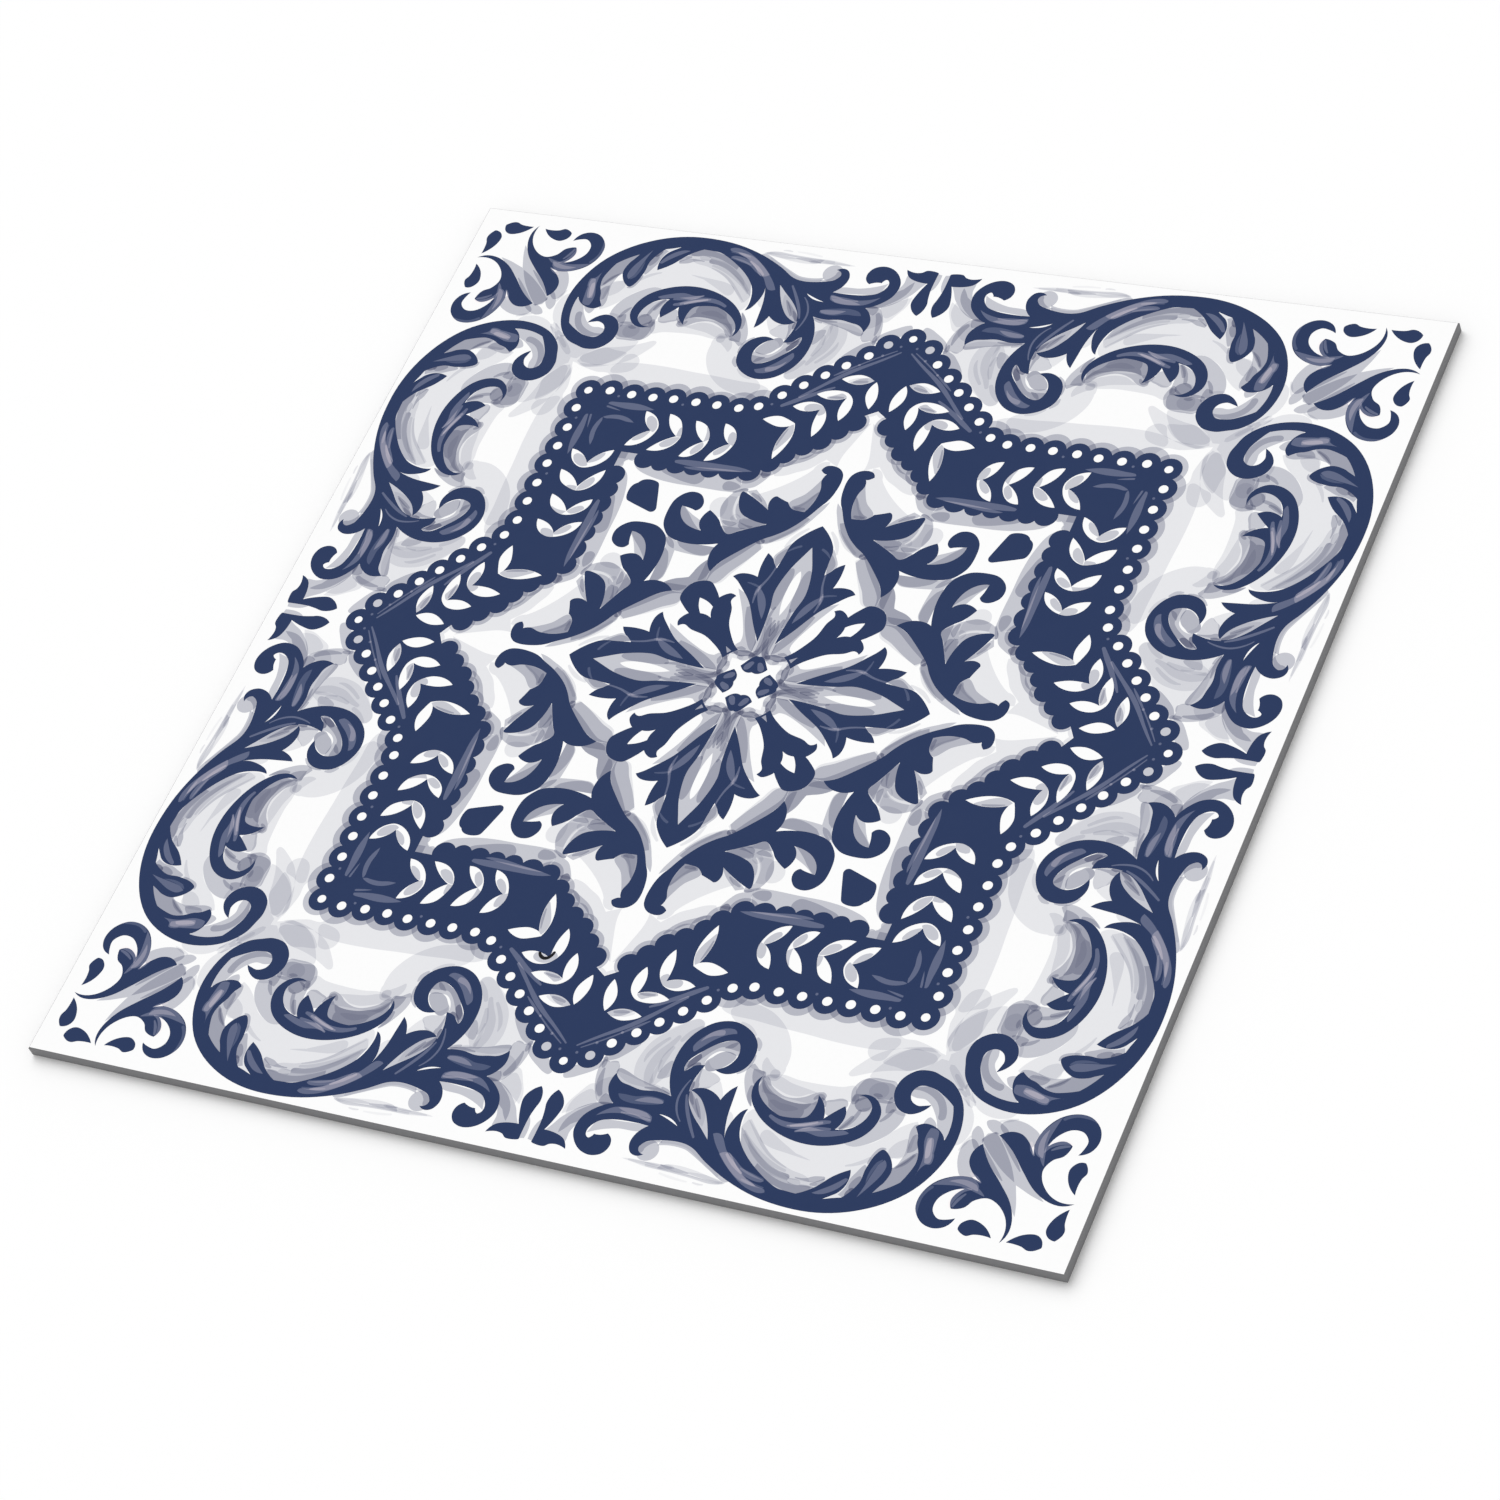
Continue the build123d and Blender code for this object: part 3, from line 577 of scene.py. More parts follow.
shape(NAVY, [(53.8, 75.9), (55.4, 75.5), (57.3, 76.15), (58.8, 78.2), (58.8, 80.7), (57.45, 83.25),
    (54.65, 85.3), (50.6, 86.6), (46.4, 86.65), (42.08, 85.53), (38.42, 83.48), (35.8, 80.6),
    (35.15, 77.9)], [(36, 76), (36.2, 78.4), (38.05, 80.65)], [(41.9, 82.6), (44.8, 82.4), (46.6, 81.75),
    (47.25, 79.9)], [(47, 77.4), (48.8, 79.2)], [(49.6, 81.45), (50.7, 80.1)], [(52.3, 78.4), (53.1, 80.4)],
    [(52.3, 83), (55, 82.1), (56.65, 80.05), (56.9, 77.7), (55.4, 76.15)])

# Navy shapes in the corner: curved leaf with a hook, and two drops
shape(NAVY, [(87.3, 96.9), (88.15, 95), (87.95, 92.55), (86.4, 89.45), (83.45, 86.32), (80.2, 83.2)],
    [(77.9, 80), (76.8, 81.75), (76.9, 83.7), (78.2, 85.5)], [(80.2, 86.9)], [(78.4, 86.4), (75.42, 86.88),
    (72.6, 88.72), (71.25, 91.4), (71.4, 94), (73.25, 96.2), (75.6, 96.8), (77.6, 96)], [(78.6, 94.2),
    (77.3, 94.75), (75.7, 94.9), (74.3, 93.5), (74.4, 91.4), (76.1, 89.5)], [(78.1, 88.7), (77, 89.9),
    (76.6, 91.3)], [(77.2, 92.7), (79.25, 92.02), (80.4, 90.43), (82.4, 89.53), (84.5, 90.18), (86.6, 92.2),
    (87.5, 94.5)])
shape(NAVY, [(79.7, 96), (81.4, 96.9), (82.6, 96.4), (84.2, 96.2)], [(85.75, 96.35), (83.9, 94.5),
    (81.4, 93.8), (79.9, 94.8)])
shape(NAVY, [(88.4, 96.5), (91.1, 96.65), (92.3, 97.12), (93.3, 97)], [(94.52, 96.15), (94.1, 94.8),
    (92.9, 94.05), (90.6, 94.58)])

# Pale glazes over the navy
# On the star
shape(GLAZE, [(43.9, 56.7), (46.4, 57.4), (48.6, 57.6), (51.4, 57.4), (53.6, 57.15)], [(53.7, 56.7),
    (51.6, 56.3), (49.2, 56.07), (46.4, 56.2)])
shape(GLAZE, [(50.5, 55.45), (52, 55.95), (53.8, 56.25)], [(53.7, 55.9), (52, 55.6)])
shape(GLAZE, [(46.7, 53.15), (48.4, 54.1), (50.4, 54.45), (52.2, 54.15), (53.4, 53.5)], [(52.4, 53.3),
    (50, 53.45), (48.2, 53.15)])
shape(GLAZE, [(18.6, 45.85), (21.2, 46.4), (25, 46.5), (30, 46.5), (33, 46.35), (34.7, 45.9)],
    [(34.4, 45.4), (31, 45.1), (26, 45.05), (22, 45.3)])
shape(GLAZE, [(20.2, 45.5), (24, 45.55), (30, 45.1)], [(32.4, 44.8), (31.6, 44.5), (28.6, 44.45),
    (24.4, 45)])
stroke(GLAZE, (1.1, 77.4, 0.3), (3, 75.9, 0.5), (5, 74.4, 0.6), (7, 73, 0.75), (9, 71.5, 0.9),
    (11, 69.7, 0.9), (13, 67.7, 0.7), (15, 65.7, 0.7), (16.6, 64.2, 0.5))
stroke(GLAZE, (10.7, 67.4, 0.4), (12.2, 66.5, 0.7), (13.8, 65.4, 0.9), (15.4, 64.4, 1), (17.2, 63.1, 1),
    (19.2, 61.7, 0.7))
stroke(GLAZE, (1.9, 77.7, 0.2), (4.2, 76.15, 0.3), (6.1, 74.8, 0.3), (7.9, 73.4, 0.3), (9.4, 72.2, 0.5),
    (11, 70.9, 0.45), (12, 70.1, 0.2))
for x, y in ((38.8, 58.8), (52.45, 58.75), (1.65, 78.75), (21.3, 61.7), (4.4, 76.2), (8, 73.3)):
    disc(GLAZE, x, y, 0.28)
# On the petal and the seed
shape(GLAZE, [(3.05, 14.1), (3.5, 17.2), (4.6, 19.2), (6.2, 20.6)], [(6.3, 20), (5.6, 18.2), (4.4, 16)])
stroke(VEIL, (6.2, 21.4, 0.2), (6.5, 20.3, 0.6), (6.5, 19, 0.2))
stroke(VEIL, (6, 20.7, 0.3), (7.4, 21.2, 0.45), (9, 21.5, 0.2))
stroke(GLAZE, (5, 25.8, 0.3), (5.45, 23, 0.4), (6.25, 20.7, 0.55), (6.4, 19, 0.5), (6.15, 17.2, 0.2))
stroke(VEIL, (2.2, 31, 0.5), (3.4, 30.3, 0.5), (4.3, 29.4, 0.2))
loop(GLAZE, (0.4, 4.7), (0.9, 4.87), (1.5, 4.4), (1.92, 3.8), (1.95, 3.2), (1.6, 2.9), (1, 3.1), (0.6, 3.8))
lay(PAPER, [(5.8, 6.4), (7.2, 7.2), (6.4, 5.8)])
for coat in (WASH, WASH):
    lay(coat, [(5.8, 6.4), (7.2, 7.2), (6.4, 5.8)])
# On the hooked leaf and the leaf under it
shape(GLAZE, [(10.3, 89.6), (12, 88.8), (14.2, 88.3), (17, 88.1), (20.3, 88.8)], [(20, 87.6), (18.4, 87),
    (15, 86.95), (12.6, 87.5)])
shape(GLAZE, [(13.6, 87.3), (15.6, 87.9), (18.4, 88), (20, 88)], [(18.8, 87.2), (16.6, 86.95)])
stroke(GLAZE, (14.5, 88.05, 0.3), (17.5, 88.25, 0.6), (20, 88.4, 0.4))
shape(VEIL, [(12.4, 84.7), (13.2, 85.6), (15, 86), (17.6, 85.8), (21, 84.8)], [(20.8, 84.2), (18, 84),
    (15.6, 84.6), (13.8, 84.6)])
shape(GLAZE, [(15.8, 85.4), (18, 85.3), (21, 84.8)], [(20.4, 84.3), (17.8, 84.3)])
# On the large scroll
stroke(GLAZE, (25.4, 87.5, 0.2), (24, 85.8, 0.35), (23.2, 83.6, 0.4), (23.3, 81.4, 0.35), (23.9, 79.4, 0.2))
stroke(GLAZE, (28.9, 89.8, 0.4), (27, 87.2, 0.6), (25.4, 84.6, 0.6), (24.4, 82.4, 0.3))
shape(GLAZE, [(21.6, 73), (22.1, 74.1), (23, 73.2), (24.4, 71.5), (26.2, 70)], [(28.2, 69.2), (27.6, 68.5),
    (25.6, 68.7), (23.4, 70.2), (22, 72)])
shape(GLAZE, [(22.5, 72), (24.1, 70.6), (26.1, 69.8)], [(25.8, 69), (23.9, 69.7)])
shape(GLAZE, [(32, 88.4), (33.4, 90.4), (36, 93), (38.6, 95.1), (41.4, 96.7), (44, 97.3)], [(45.2, 97),
    (45, 96.5), (43.4, 96.15), (41, 95.2), (38.4, 93.3), (35.7, 91), (33.4, 88.2)])
shape(GLAZE, [(34.6, 91.8), (37.4, 94.2), (40.4, 95.9), (43.2, 96.2)], [(41.2, 95.2), (38.6, 93.4),
    (36.2, 91.2)])
shape(GLAZE, [(36.2, 91.2), (38.4, 93.4), (40.6, 94.8), (42.4, 95.3), (43.8, 95.3)], [(44.3, 94.9),
    (42.6, 94.4), (39.8, 93.5), (37.6, 92)])
stroke(VEIL, (39.4, 93.6, 0.3), (41.8, 94.3, 0.6), (44, 94.7, 0.3))
stroke(VEIL, (40.4, 95.5, 0.3), (42.6, 96, 0.6), (44.6, 96.2, 0.3))
stroke(GLAZE, (36, 91.6, 0.5), (37.8, 93.1, 0.7), (39.8, 94.4, 0.4))
shape(GLAZE, [(53.1, 95.2), (55, 95), (57.2, 93.4), (58.2, 91.4)], [(57.6, 91.4), (56, 93), (54.2, 94.4)])
shape(GLAZE, [(60.9, 94.3), (62.2, 92), (63.4, 89.4), (63.6, 87.6)], [(62.9, 86.6), (62.2, 87.8),
    (61.7, 90), (61.4, 92)])
shape(VEIL, [(61.4, 91.6), (61.8, 89), (62.6, 86.6)], [(61.7, 87.4), (61.2, 89.4)])
shape(GLAZE, [(69, 88.2), (69.8, 86), (70.75, 85.6)], [(70.5, 83.6), (70.2, 81.4), (69.7, 79.4)],
    [(68.2, 79.2), (68, 81.4), (69, 84.6)])
shape(GLAZE, [(69.6, 85.6), (70.45, 85.5)], [(70.2, 83.6), (69.8, 81.8), (69.3, 80.9)], [(68.4, 81.1),
    (68.7, 82.8)])
shape(GLAZE, [(69.4, 84.8), (69.9, 84.4), (69.6, 82.4)], [(69, 80.9), (68.7, 81.8)])
# On the inner scroll
stroke(GLAZE, (40.4, 83, 0.6), (43.2, 83.9, 1), (46.4, 83.7, 1.1), (49.5, 82.3, 0.9), (50.8, 81.9, 0.6))
shape(GLAZE, [(45.6, 84.9), (47.6, 84.6), (50, 84.9), (52.6, 84.3), (54.9, 83.2)], [(53.6, 82.9),
    (50.6, 83.6), (48, 83.6)])
stroke(GLAZE, (45.8, 84.8, 0.4), (48, 83.9, 0.8), (51.4, 83.2, 0.5))
stroke(GLAZE, (44, 84.1, 0.3), (46.8, 83.4, 0.6), (49.6, 82.3, 0.5))
stroke(GLAZE, (44.6, 84, 0.4), (46.8, 83.2, 0.7), (48.8, 82.4, 0.4))
# On the corner leaf
stroke(GLAZE, (77.3, 92.2, 0.4), (77.8, 90.8, 0.6), (78.6, 89.6, 0.3))
shape(GLAZE, [(72.4, 89.2), (74.2, 88.8), (77.4, 88.4), (80, 88.9), (81.8, 89.3)], [(80.4, 88.2),
    (79.8, 87.2), (77.6, 86.3), (74.6, 87.4)])
shape(GLAZE, [(75, 87.9), (77.6, 88), (80.4, 88.6)], [(79.6, 87.5), (77.2, 87.1)])
shape(GLAZE, [(77, 92.8), (77.2, 91.2), (78.2, 89.3), (79.4, 88.5)], [(77.6, 88.6), (76.4, 90.4),
    (76.4, 92)])
stroke(VEIL, (72, 95.2, 0.3), (71.5, 93.4, 0.6), (71.6, 91.4, 0.6), (72.6, 89.6, 0.6))
stroke(GLAZE, (78, 85.7, 0.4), (79.2, 86.4, 0.8), (80.2, 87, 0.3))
# White and grey slivers in the large scroll
for coat in (PAPER, WASH):
    shape(coat, [(31.5, 89.7), (29.45, 87.85), (26.9, 85.6), (25.15, 83.25)], [(24.65, 81.3),
        (26.88, 82.34), (28.77, 84.42), (30.44, 87.26)])
shape(MIST, [(29.6, 87.6), (26.9, 85.6), (25.15, 83.25)], [(24.65, 81.3), (26.9, 82.3), (28.8, 84.4)])
stroke(WASH, (24.9, 81.9, 0.6), (25.7, 83, 1), (26.8, 84.3, 0.7), (28.2, 85.9, 0.3))
stroke(WASH, (26.4, 82.8, 0.4), (27.4, 84.4, 0.7), (28.6, 86.2, 0.3))
stroke(WASH, (24.8, 81.6, 0.4), (25.5, 82.9, 0.7), (26.2, 83.8, 0.3))
shape(PAPER, [(21.2, 86.95), (23, 87.5)], [(25.3, 88.45), (23.6, 87.32)])

# White leaves on the star
shape(PAPER, [(3, 69.9), (3.85, 68.2), (3.82, 66.2)], [(2.1, 63.5), (1.52, 66), (2.05, 68.3)])
shape(PAPER, [(3.6, 70.1), (6.3, 71.08), (8.6, 70.55)], [(10.05, 69.6), (7.4, 68.73), (5.3, 69.02)])
shape(PAPER, [(13.5, 65.4), (11.5, 66.5), (9.2, 66.85), (7.33, 66.48), (5.88, 64.92), (5.67, 62.4)],
    [(6.85, 59.95), (7.78, 62.4)], [(7.3, 65.4), (9.3, 64.6), (11.6, 64.65)])
shape(PAPER, [(17, 61.9), (15.35, 63.05), (13.4, 63.5), (11.15, 62.85), (9.55, 60.5), (9.48, 57.8)],
    [(10.55, 55.55), (11.42, 58), (11.58, 60)], [(11.45, 61.95), (13.4, 61.22), (15.2, 61.17)])
shape(PAPER, [(21.6, 58.05), (20.2, 58.9), (18.4, 59.25), (16.6, 58.75)], [(14.95, 58.05), (14.3, 55.6),
    (14.6, 52.6)], [(16.05, 49.3), (16.72, 52), (16.5, 54.9)], [(15.75, 57.25), (17.8, 56.8),
    (19.8, 57.25)])
shape(PAPER, [(28.4, 55.85), (26.1, 54.85), (24.8, 52.5), (25.2, 50), (26.8, 47.7)], [(29.1, 46.75),
    (28.15, 49.3)], [(25.75, 51.3), (27.5, 53)])
shape(PAPER, [(34.45, 55.55), (31.8, 54.7), (30.2, 52), (30.6, 49.3), (32.4, 47.3)], [(34.5, 47),
    (33.2, 49.3)], [(31.05, 51), (33.2, 52.9)])
shape(PAPER, [(40.3, 56.3), (37.8, 55.4), (36.5, 53.4)], [(35.95, 51.3), (36.7, 49.3), (38.65, 47.75)],
    [(41.5, 47.4), (39.45, 49.75)], [(36.9, 51.4), (39.2, 53.55)])
shape(PAPER, [(45.3, 56.2), (42.7, 55.1), (41.35, 52.8), (42.05, 50.25), (44, 48.3)], [(46.3, 47.75),
    (44.9, 50.3)], [(42.5, 51.9), (44.5, 53.8)])
disc(PAPER, *pearls[0], 0.78)
for x, y in pearls[1:-1]:
    disc(PAPER, x, y, 0.9)
disc(PAPER, *pearls[-1], 0.82)

# Grey shade on the leaves
disc(WASH, *pearls[1], 0.95)
shape(WASH, [(3.6, 70.05), (4.6, 70.6), (5.6, 70.5), (6.8, 70), (7.6, 69.4), (8.3, 68.8)], [(7.4, 68.65),
    (5.2, 68.9)])
stroke(WASH, (4.9, 69.7, 0.5), (6.2, 69.4, 0.7), (7.4, 69.2, 0.4))
stroke(MIST, (5.2, 70.2, 0.5), (6.8, 69.9, 0.9), (8.4, 69.3, 0.5))
shape(WASH, [(7.35, 65.5), (7.8, 66), (8.6, 66.3), (9.2, 66), (10.2, 65.5), (11.2, 65)], [(10.8, 64.6),
    (9.3, 64.6)])
stroke(WASH, (8, 65.3, 0.4), (9.4, 65.2, 0.6), (10.6, 65, 0.3))
shape(WASH, [(10.1, 61.4), (10.6, 62.4), (11.6, 63), (12.6, 63.15), (13.9, 62.9), (14.55, 62.3),
    (14.5, 61.5)], [(13.9, 61.17), (12.6, 61.5)], [(11.45, 61.95)], [(11.6, 60.8)], [(11.2, 60.5),
    (10.4, 60.9)])
shape(WASH, [(15.1, 57.8), (14.6, 56.8), (14.4, 55.4), (14.8, 54), (15.6, 52.4), (16.5, 51)],
    [(16.72, 52.3), (16.5, 54.9)], [(15.75, 57.25)])
stroke(WASH, (15.7, 56.6, 0.2), (16.2, 54.6, 0.5), (16.45, 52.6, 0.3))
shape(WASH, [(24.75, 51.9), (25, 53.2), (25.6, 54), (26.3, 54.1)], [(26.6, 53.2), (26.4, 52.1)],
    [(25.75, 51.3)], [(24.9, 51)])
shape(WASH, [(25.4, 51.1), (25.75, 51.25), (27.2, 50.2), (28.1, 48.9)], [(27.6, 48.3), (26.6, 48.8),
    (25.7, 50)])
shape(WASH, [(30.2, 51.6), (30.4, 53.2), (31.2, 54.4)], [(31.7, 54.4), (31.2, 53)], [(31.05, 51)])
shape(WASH, [(31.05, 50.9), (32.2, 49.8), (32.7, 48.4)], [(32.2, 47.7), (31.2, 48.6), (30.6, 50)])
shape(WASH, [(36.2, 52.6), (36.6, 53.6), (36.9, 53.4)], [(36.9, 51.4)], [(36, 51.4)])
shape(WASH, [(36, 51.3), (37.4, 51), (39, 49.9), (39.5, 49)], [(38.6, 48.5), (37.4, 48.9), (36.6, 49.8)])
shape(WASH, [(42.5, 51.95), (44, 53.3), (44.4, 54.8)], [(43.8, 55.3), (42.6, 54.7), (41.75, 53.4),
    (41.6, 52.4), (42, 51.6)])
shape(WASH, [(42.5, 51.8), (44.6, 50.6), (45.4, 49.2)], [(44.6, 49.2), (43.4, 50)])

# A small dark mark that one wedge alone carries
shared = len(coats)
stroke(BLACK, (11.06, 60.7, 0.5), (11.6, 61.8, 0.65), (12.4, 62.2, 0.65), (13.2, 61.9, 0.65),
    (13.7, 61.3, 0.5))
mark = coats[shared:]
del coats[shared:]


# Planar map of the painting
merge_distance = 1e-5  # mm
least_step = 0.5  # change of colour that keeps an edge, of 255


def triangulate(points, edges):
    """Triangles of a constrained Delaunay mesh that keeps all the edges."""
    result = delaunay_2d_cdt(points, edges, [], 0, merge_distance)
    return numpy.array([tuple(corner) for corner in result[0]]), numpy.array(result[2])


def inside(outline, x, y):
    """Which of the points lie inside the outline, by counting the sides that a ray crosses."""
    ends = numpy.array(outline)
    found = numpy.zeros(len(x), dtype=bool)
    for (ax, ay), (bx, by) in zip(ends, numpy.roll(ends, -1, axis=0)):
        if ay != by:
            found ^= ((ay > y) != (by > y)) & (x < ax + (y - ay) * (bx - ax) / (by - ay))
    return found


def tones(layers, corners, triangles):
    """The colour of each triangle, with the coats laid one over another, 0-255 sRGB."""
    middle = corners[triangles].mean(axis=1)
    colour = numpy.tile(numpy.array(PAPER[0], dtype=float), (len(triangles), 1))
    for (ink, cover), outline in layers:
        least = numpy.min(outline, axis=0)
        most = numpy.max(outline, axis=0)
        near = numpy.flatnonzero(((middle > least) & (middle < most)).all(axis=1))
        under = near[inside(outline, middle[near, 0], middle[near, 1])]
        colour[under] += cover * (numpy.array(ink) - colour[under])
    return colour


def in_wedge(corners, triangles):
    x, y = corners[triangles].mean(axis=1).T
    return triangles[(x > 0) & (x < y) & (y < wedge_side)]


def painted_wedge(layers):
    """Corners, triangles and colours of the wedge, with edges only where the colour changes."""
    points = [(0, 0), (wedge_side, wedge_side), (0, wedge_side)]
    edges = [(0, 1), (1, 2), (2, 0)]
    for ink, outline in layers:
        first = len(points)
        points += outline
        edges += [(first + i, first + (i + 1) % len(outline)) for i in range(len(outline))]
    corners, triangles = triangulate(points, edges)
    triangles = in_wedge(corners, triangles)
    colour = tones(layers, corners, triangles)
    sides = {}
    for triangle, tone in zip(triangles, colour):
        for a, b in zip(triangle, numpy.roll(triangle, -1)):
            sides.setdefault((min(a, b), max(a, b)), []).append(tone)
    kept = [pair for pair, both in sides.items()
            if len(both) == 2 and abs(both[0] - both[1]).max() > least_step]
    used = sorted({end for pair in kept for end in pair})
    place = {end: i + 3 for i, end in enumerate(used)}
    points = points[:3] + [tuple(corners[end]) for end in used]
    edges = edges[:3] + [(place[a], place[b]) for a, b in kept]
    corners, triangles = triangulate(points, edges)
    triangles = in_wedge(corners, triangles)
    return corners, triangles, tones(layers, corners, triangles)


def linear(colour):
    """Scene-linear values of 0-255 sRGB."""
    share = numpy.asarray(colour, dtype=float) / 255
    return numpy.where(share <= 0.04045, share / 12.92, ((share + 0.055) / 1.055) ** 2.4)


def plain(colour):
    return (*linear(colour), 1.0)


# Mesh of the sheet: the painted face, the broken edge, the cut sides and the back
PRINT, CUT, BACK = range(3)
common_wedge = painted_wedge(coats)
marked_wedge = painted_wedge(coats + mark)
vertices, faces, kinds, face_tones = [], [], [], []
number = {}


def vertex(x, y, z):
    key = (round(x, 7), round(y, 7), round(z, 7))
    if key not in number:
        number[key] = len(vertices)
        vertices.append(key)
    return number[key]


def face(kind, tone, *points):
    faces.append([vertex(*p) for p in points])
    kinds.append(kind)
    face_tones.append(tone)


for swap in (False, True):
    for sign_x in (1, -1):
        for sign_y in (1, -1):
            marked = not swap and sign_x < 0 and sign_y < 0
            corners, triangles, colour = marked_wedge if marked else common_wedge
            for triangle, tone in zip(triangles, colour):
                points = []
                for x, y in corners[triangle] * millimetre:
                    across, along = (y, x) if swap else (x, y)
                    points.append((sign_x * across, sign_y * along, thickness))
                face(PRINT, tone, *(points[::-1] if swap ^ (sign_x * sign_y < 0) else points))


def turned(points, c, s):
    return [(c * x - s * y, s * x + c * y, z) for x, y, z in points]


top = half_side - edge_break
brim = thickness - edge_break
for quarter in ((1, 0), (0, 1), (-1, 0), (0, -1)):
    for begin, end in ((-1, 0), (0, 1)):
        upper = [(t * top, -top, thickness) for t in (begin, end)]
        middle = [(t * half_side, -half_side, brim) for t in (begin, end)]
        lower = [(t * half_side, -half_side, 0) for t in (begin, end)]
        face(CUT, PAPER[0], *turned((upper[0], middle[0], middle[1], upper[1]), *quarter))
        face(CUT, PAPER[0], *turned((middle[0], lower[0], lower[1], middle[1]), *quarter))
    back = [(0, 0, 0), (0, -half_side, 0), (-half_side, -half_side, 0), (-half_side, 0, 0)]
    face(BACK, PAPER[0], *turned(back, *quarter))

mesh = bpy.data.meshes.new("printed_tile")
mesh.from_pydata(vertices, [], faces)
mesh.polygons.foreach_set("material_index", kinds)
ink = mesh.color_attributes.new("Print", "FLOAT_COLOR", "CORNER")
bake = mesh.uv_layers.new(name="OFBake")
ink_values, bake_values = [], []
# Places on the bake: the face in a large square, the cut sides and the back in strips beside it
margin, square = 0.01, 0.92
strip_start, strip = 0.96, 0.03
for kind, tone, polygon in zip(kinds, face_tones, mesh.polygons):
    value = plain(tone)
    for index in polygon.vertices:
        x, y, z = mesh.vertices[index].co
        ink_values += value
        u = (x + half_side) / (2 * half_side)
        v = (y + half_side) / (2 * half_side)
        if kind == CUT:
            u, v = strip_start + strip * z / thickness, (u + v) / 2
        elif kind == BACK:
            u, v = margin + square * u, strip_start + strip * v
        else:
            u, v = margin + square * u, margin + square * v
        bake_values += (u, v)
ink.data.foreach_set("color", ink_values)
bake.data.foreach_set("uv", bake_values)
mesh.update()
mesh.validate()
tile = bpy.data.objects.new("printed_tile", mesh)
bpy.context.collection.objects.link(tile)


# Materials
def nodes_of(name):
    material = bpy.data.materials.new(name)
    material.use_nodes = True
    tree = material.node_tree
    return material, tree, tree.nodes["Principled BSDF"]


def grain(tree, scale, detail):
    """Noise that is fixed to the sheet: grains a metre."""
    place = tree.nodes.new("ShaderNodeTexCoord")
    noise = tree.nodes.new("ShaderNodeTexNoise")
    noise.inputs["Scale"].default_value = scale
    noise.inputs["Detail"].default_value = detail
    tree.links.new(place.outputs["Object"], noise.inputs["Vector"])
    return noise.outputs["Fac"]


def spread(tree, value, least, most):
    """The noise's middle half spread over a range."""
    remap = tree.nodes.new("ShaderNodeMapRange")
    remap.inputs["From Min"].default_value = 0.25
    remap.inputs["From Max"].default_value = 0.75
    remap.inputs["To Min"].default_value = least
    remap.inputs["To Max"].default_value = most
    tree.links.new(value, remap.inputs["Value"])
    return remap.outputs["Result"]


def bump(tree, shader, value, strength, depth):
    node = tree.nodes.new("ShaderNodeBump")
    node.inputs["Strength"].default_value = strength
    node.inputs["Distance"].default_value = depth
    tree.links.new(value, node.inputs["Height"])
    tree.links.new(node.outputs["Normal"], shader.inputs["Normal"])


def shaded(tree, colour, value):
    """The colour, made darker by the value."""
    mix = tree.nodes.new("ShaderNodeMix")
    mix.data_type = "RGBA"
    mix.blend_type = "MULTIPLY"
    mix.inputs["Factor"].default_value = 1.0
    tree.links.new(colour, mix.inputs["A"])
    tree.links.new(value, mix.inputs["B"])
    return mix.outputs["Result"]


def printed_face():
    material, tree, shader = nodes_of("printed_face")
    paint = tree.nodes.new("ShaderNodeVertexColor")
    paint.layer_name = "Print"
    tree.links.new(shaded(tree, paint.outputs["Color"], spread(tree, grain(tree, 900, 3), 0.99, 1.0)),
                   shader.inputs["Base Color"])
    tree.links.new(spread(tree, grain(tree, 260, 2), 0.54, 0.62), shader.inputs["Roughness"])
    shader.inputs["Specular IOR Level"].default_value = 0.2
    bump(tree, shader, grain(tree, 1600, 2), 0.08, 0.00005)
    return material


def cut_edge_painted_shade():
    material, tree, shader = nodes_of("cut_edge_painted_shade")
    # Painted shade: the cut sides are coloured mid-grey so that they show as dark as shaded sides; the spread
    # between the two greys is grain
    ramp = tree.nodes.new("ShaderNodeValToRGB")
    ramp.color_ramp.elements[0].color = plain((124, 124, 126))
    ramp.color_ramp.elements[1].color = plain((135, 135, 137))
    tree.links.new(grain(tree, 2500, 2), ramp.inputs["Fac"])
    tree.links.new(ramp.outputs["Color"], shader.inputs["Base Color"])
    tree.links.new(spread(tree, grain(tree, 2500, 2), 0.6, 0.75), shader.inputs["Roughness"])
    shader.inputs["Specular IOR Level"].default_value = 0.2
    bump(tree, shader, grain(tree, 3500, 2), 0.15, 0.00005)
    return material


def back_face():
    material, tree, shader = nodes_of("back_face")
    ramp = tree.nodes.new("ShaderNodeValToRGB")
    ramp.color_ramp.elements[0].color = plain((222, 221, 216))
    ramp.color_ramp.elements[1].color = plain((236, 235, 231))
    tree.links.new(grain(tree, 420, 4), ramp.inputs["Fac"])
    tree.links.new(ramp.outputs["Color"], shader.inputs["Base Color"])
    tree.links.new(spread(tree, grain(tree, 420, 4), 0.55, 0.7), shader.inputs["Roughness"])
    shader.inputs["Specular IOR Level"].default_value = 0.3
    bump(tree, shader, grain(tree, 900, 3), 0.12, 0.00005)
    return material


for material in (printed_face(), cut_edge_painted_shade(), back_face()):
    mesh.materials.append(material)
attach(tile, "root")
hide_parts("tile")

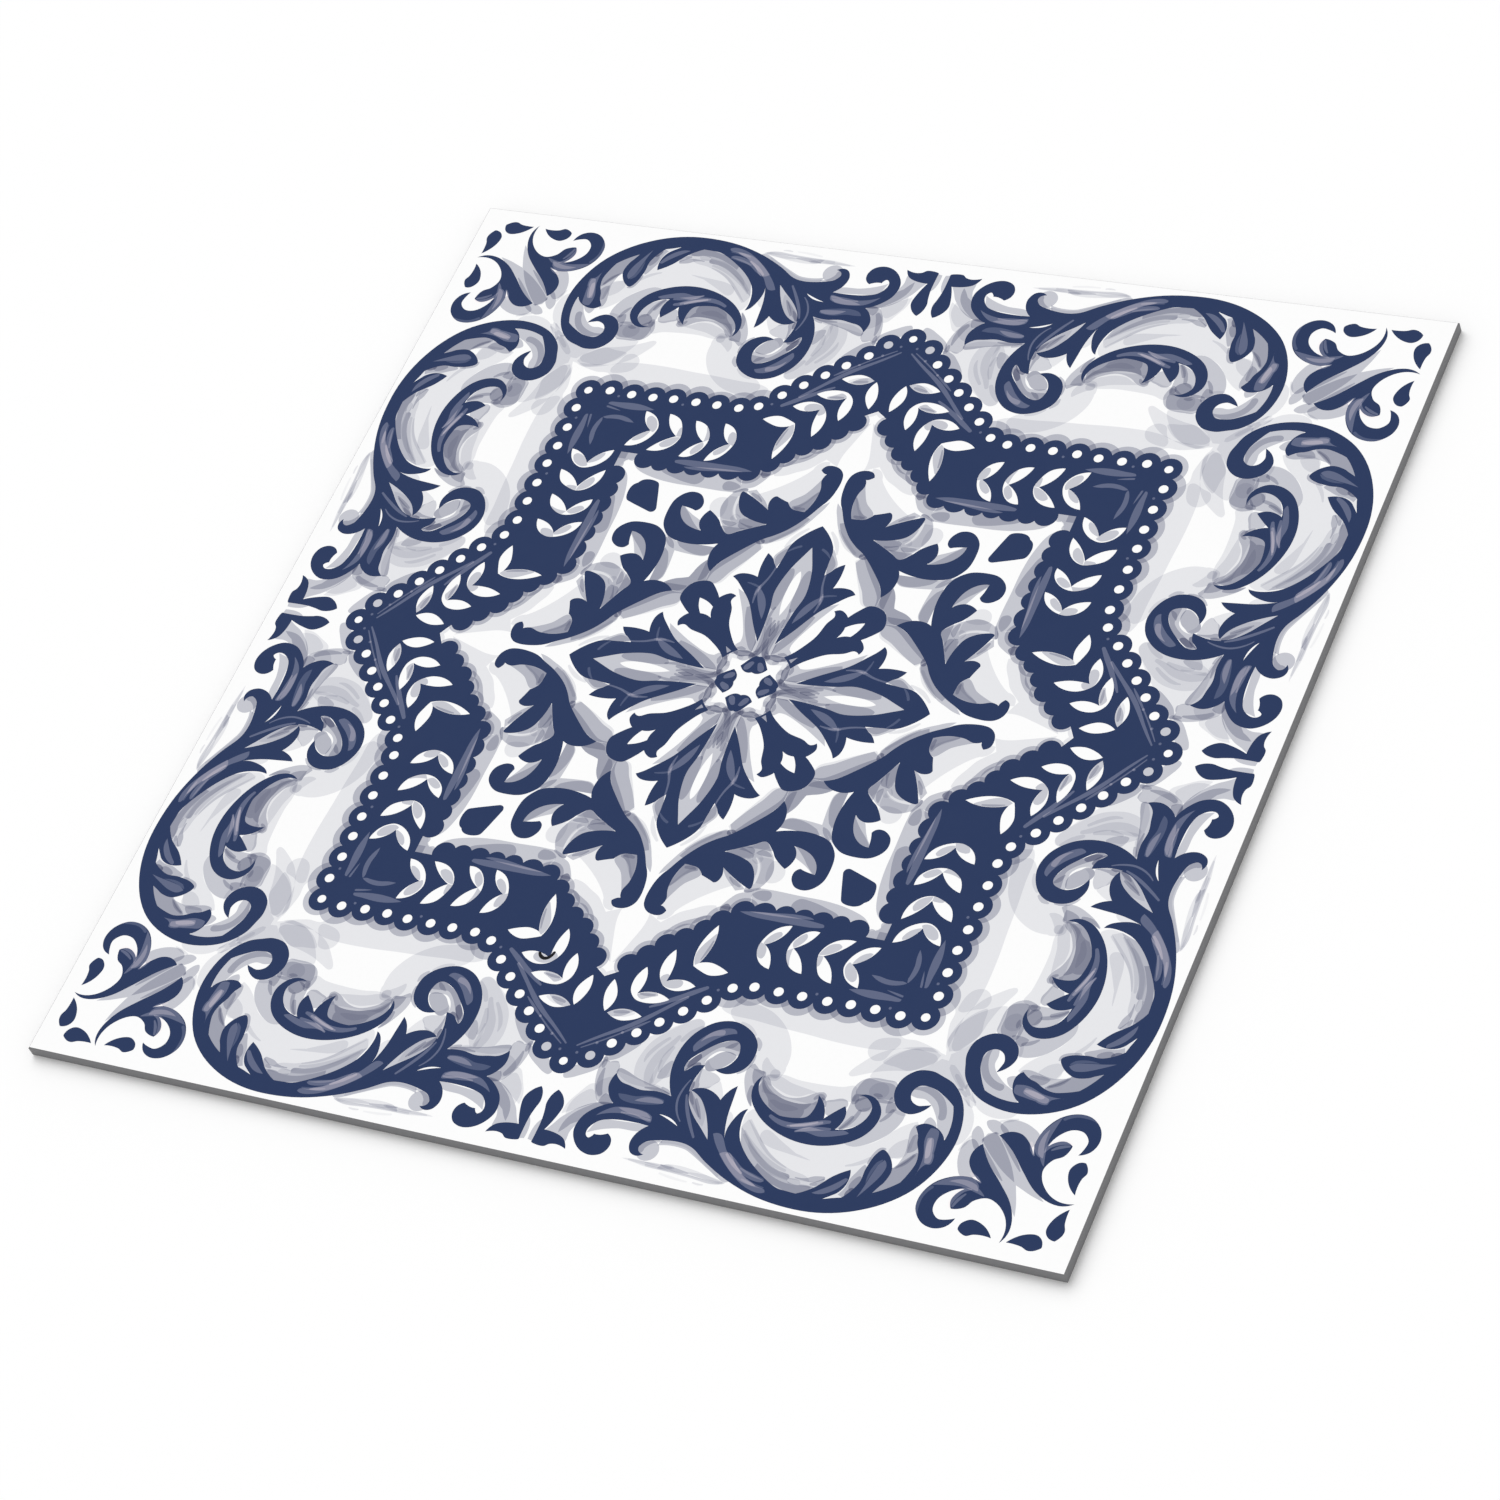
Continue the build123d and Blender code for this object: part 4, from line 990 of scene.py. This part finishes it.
# Floor
floor_half = 20.0
floor_mesh = bpy.data.meshes.new("floor")
floor_corners = [(x * floor_half, y * floor_half, 0) for x, y in ((-1, -1), (1, -1), (1, 1), (-1, 1))]
floor_mesh.from_pydata(floor_corners, [], [(0, 1, 2, 3)])
floor = bpy.data.objects.new("floor", floor_mesh)
floor.location.z = -0.0001
bpy.context.collection.objects.link(floor)
floor_material, floor_tree, floor_shader = nodes_of("floor")
floor_shader.inputs["Base Color"].default_value = (1.0, 1.0, 1.0, 1.0)
floor_shader.inputs["Roughness"].default_value = 1.0
floor_shader.inputs["Specular IOR Level"].default_value = 0.0
floor_mesh.materials.append(floor_material)

# Light: an even white surround, and a soft lamp from behind the tile on the left
sky = 0.6
world = bpy.data.worlds.new("surround")
world.use_nodes = True
surround = world.node_tree.nodes["Background"]
surround.inputs["Color"].default_value = (1.0, 1.0, 1.0, 1.0)
surround.inputs["Strength"].default_value = sky
bpy.context.scene.world = world
lamp_height = math.radians(48)
lamp_turn = math.radians(135)
lamp_data = bpy.data.lights.new("key", "SUN")
lamp_data.energy = (1.0 - sky) * math.pi / math.sin(lamp_height)
lamp_data.angle = math.radians(55)
lamp = bpy.data.objects.new("key", lamp_data)
lamp.rotation_euler = (math.pi / 2 - lamp_height, 0, lamp_turn + math.pi / 2)
lamp.visible_glossy = False
bpy.context.collection.objects.link(lamp)

# Camera, from the four corners of the tile in the photo
photo_side = 1500
focal_pixels = 4862.28
camera_data = bpy.data.cameras.new("camera")
camera_data.sensor_width = 36
camera_data.lens = focal_pixels * camera_data.sensor_width / photo_side
camera = bpy.data.objects.new("camera", camera_data)
right = (0.8809, 0.3801, -0.2819)
down = (0.1517, -0.7911, -0.5926)
forward = (-0.4483, 0.4793, -0.7545)
place = (0.3864, -0.41958, 0.6393 + thickness)
aim = Matrix((right, [-v for v in down], [-v for v in forward])).transposed().to_4x4()
camera.matrix_world = Matrix.Translation(place) @ aim
bpy.context.collection.objects.link(camera)
bpy.context.scene.camera = camera
bpy.context.scene.view_settings.view_transform = "Standard"
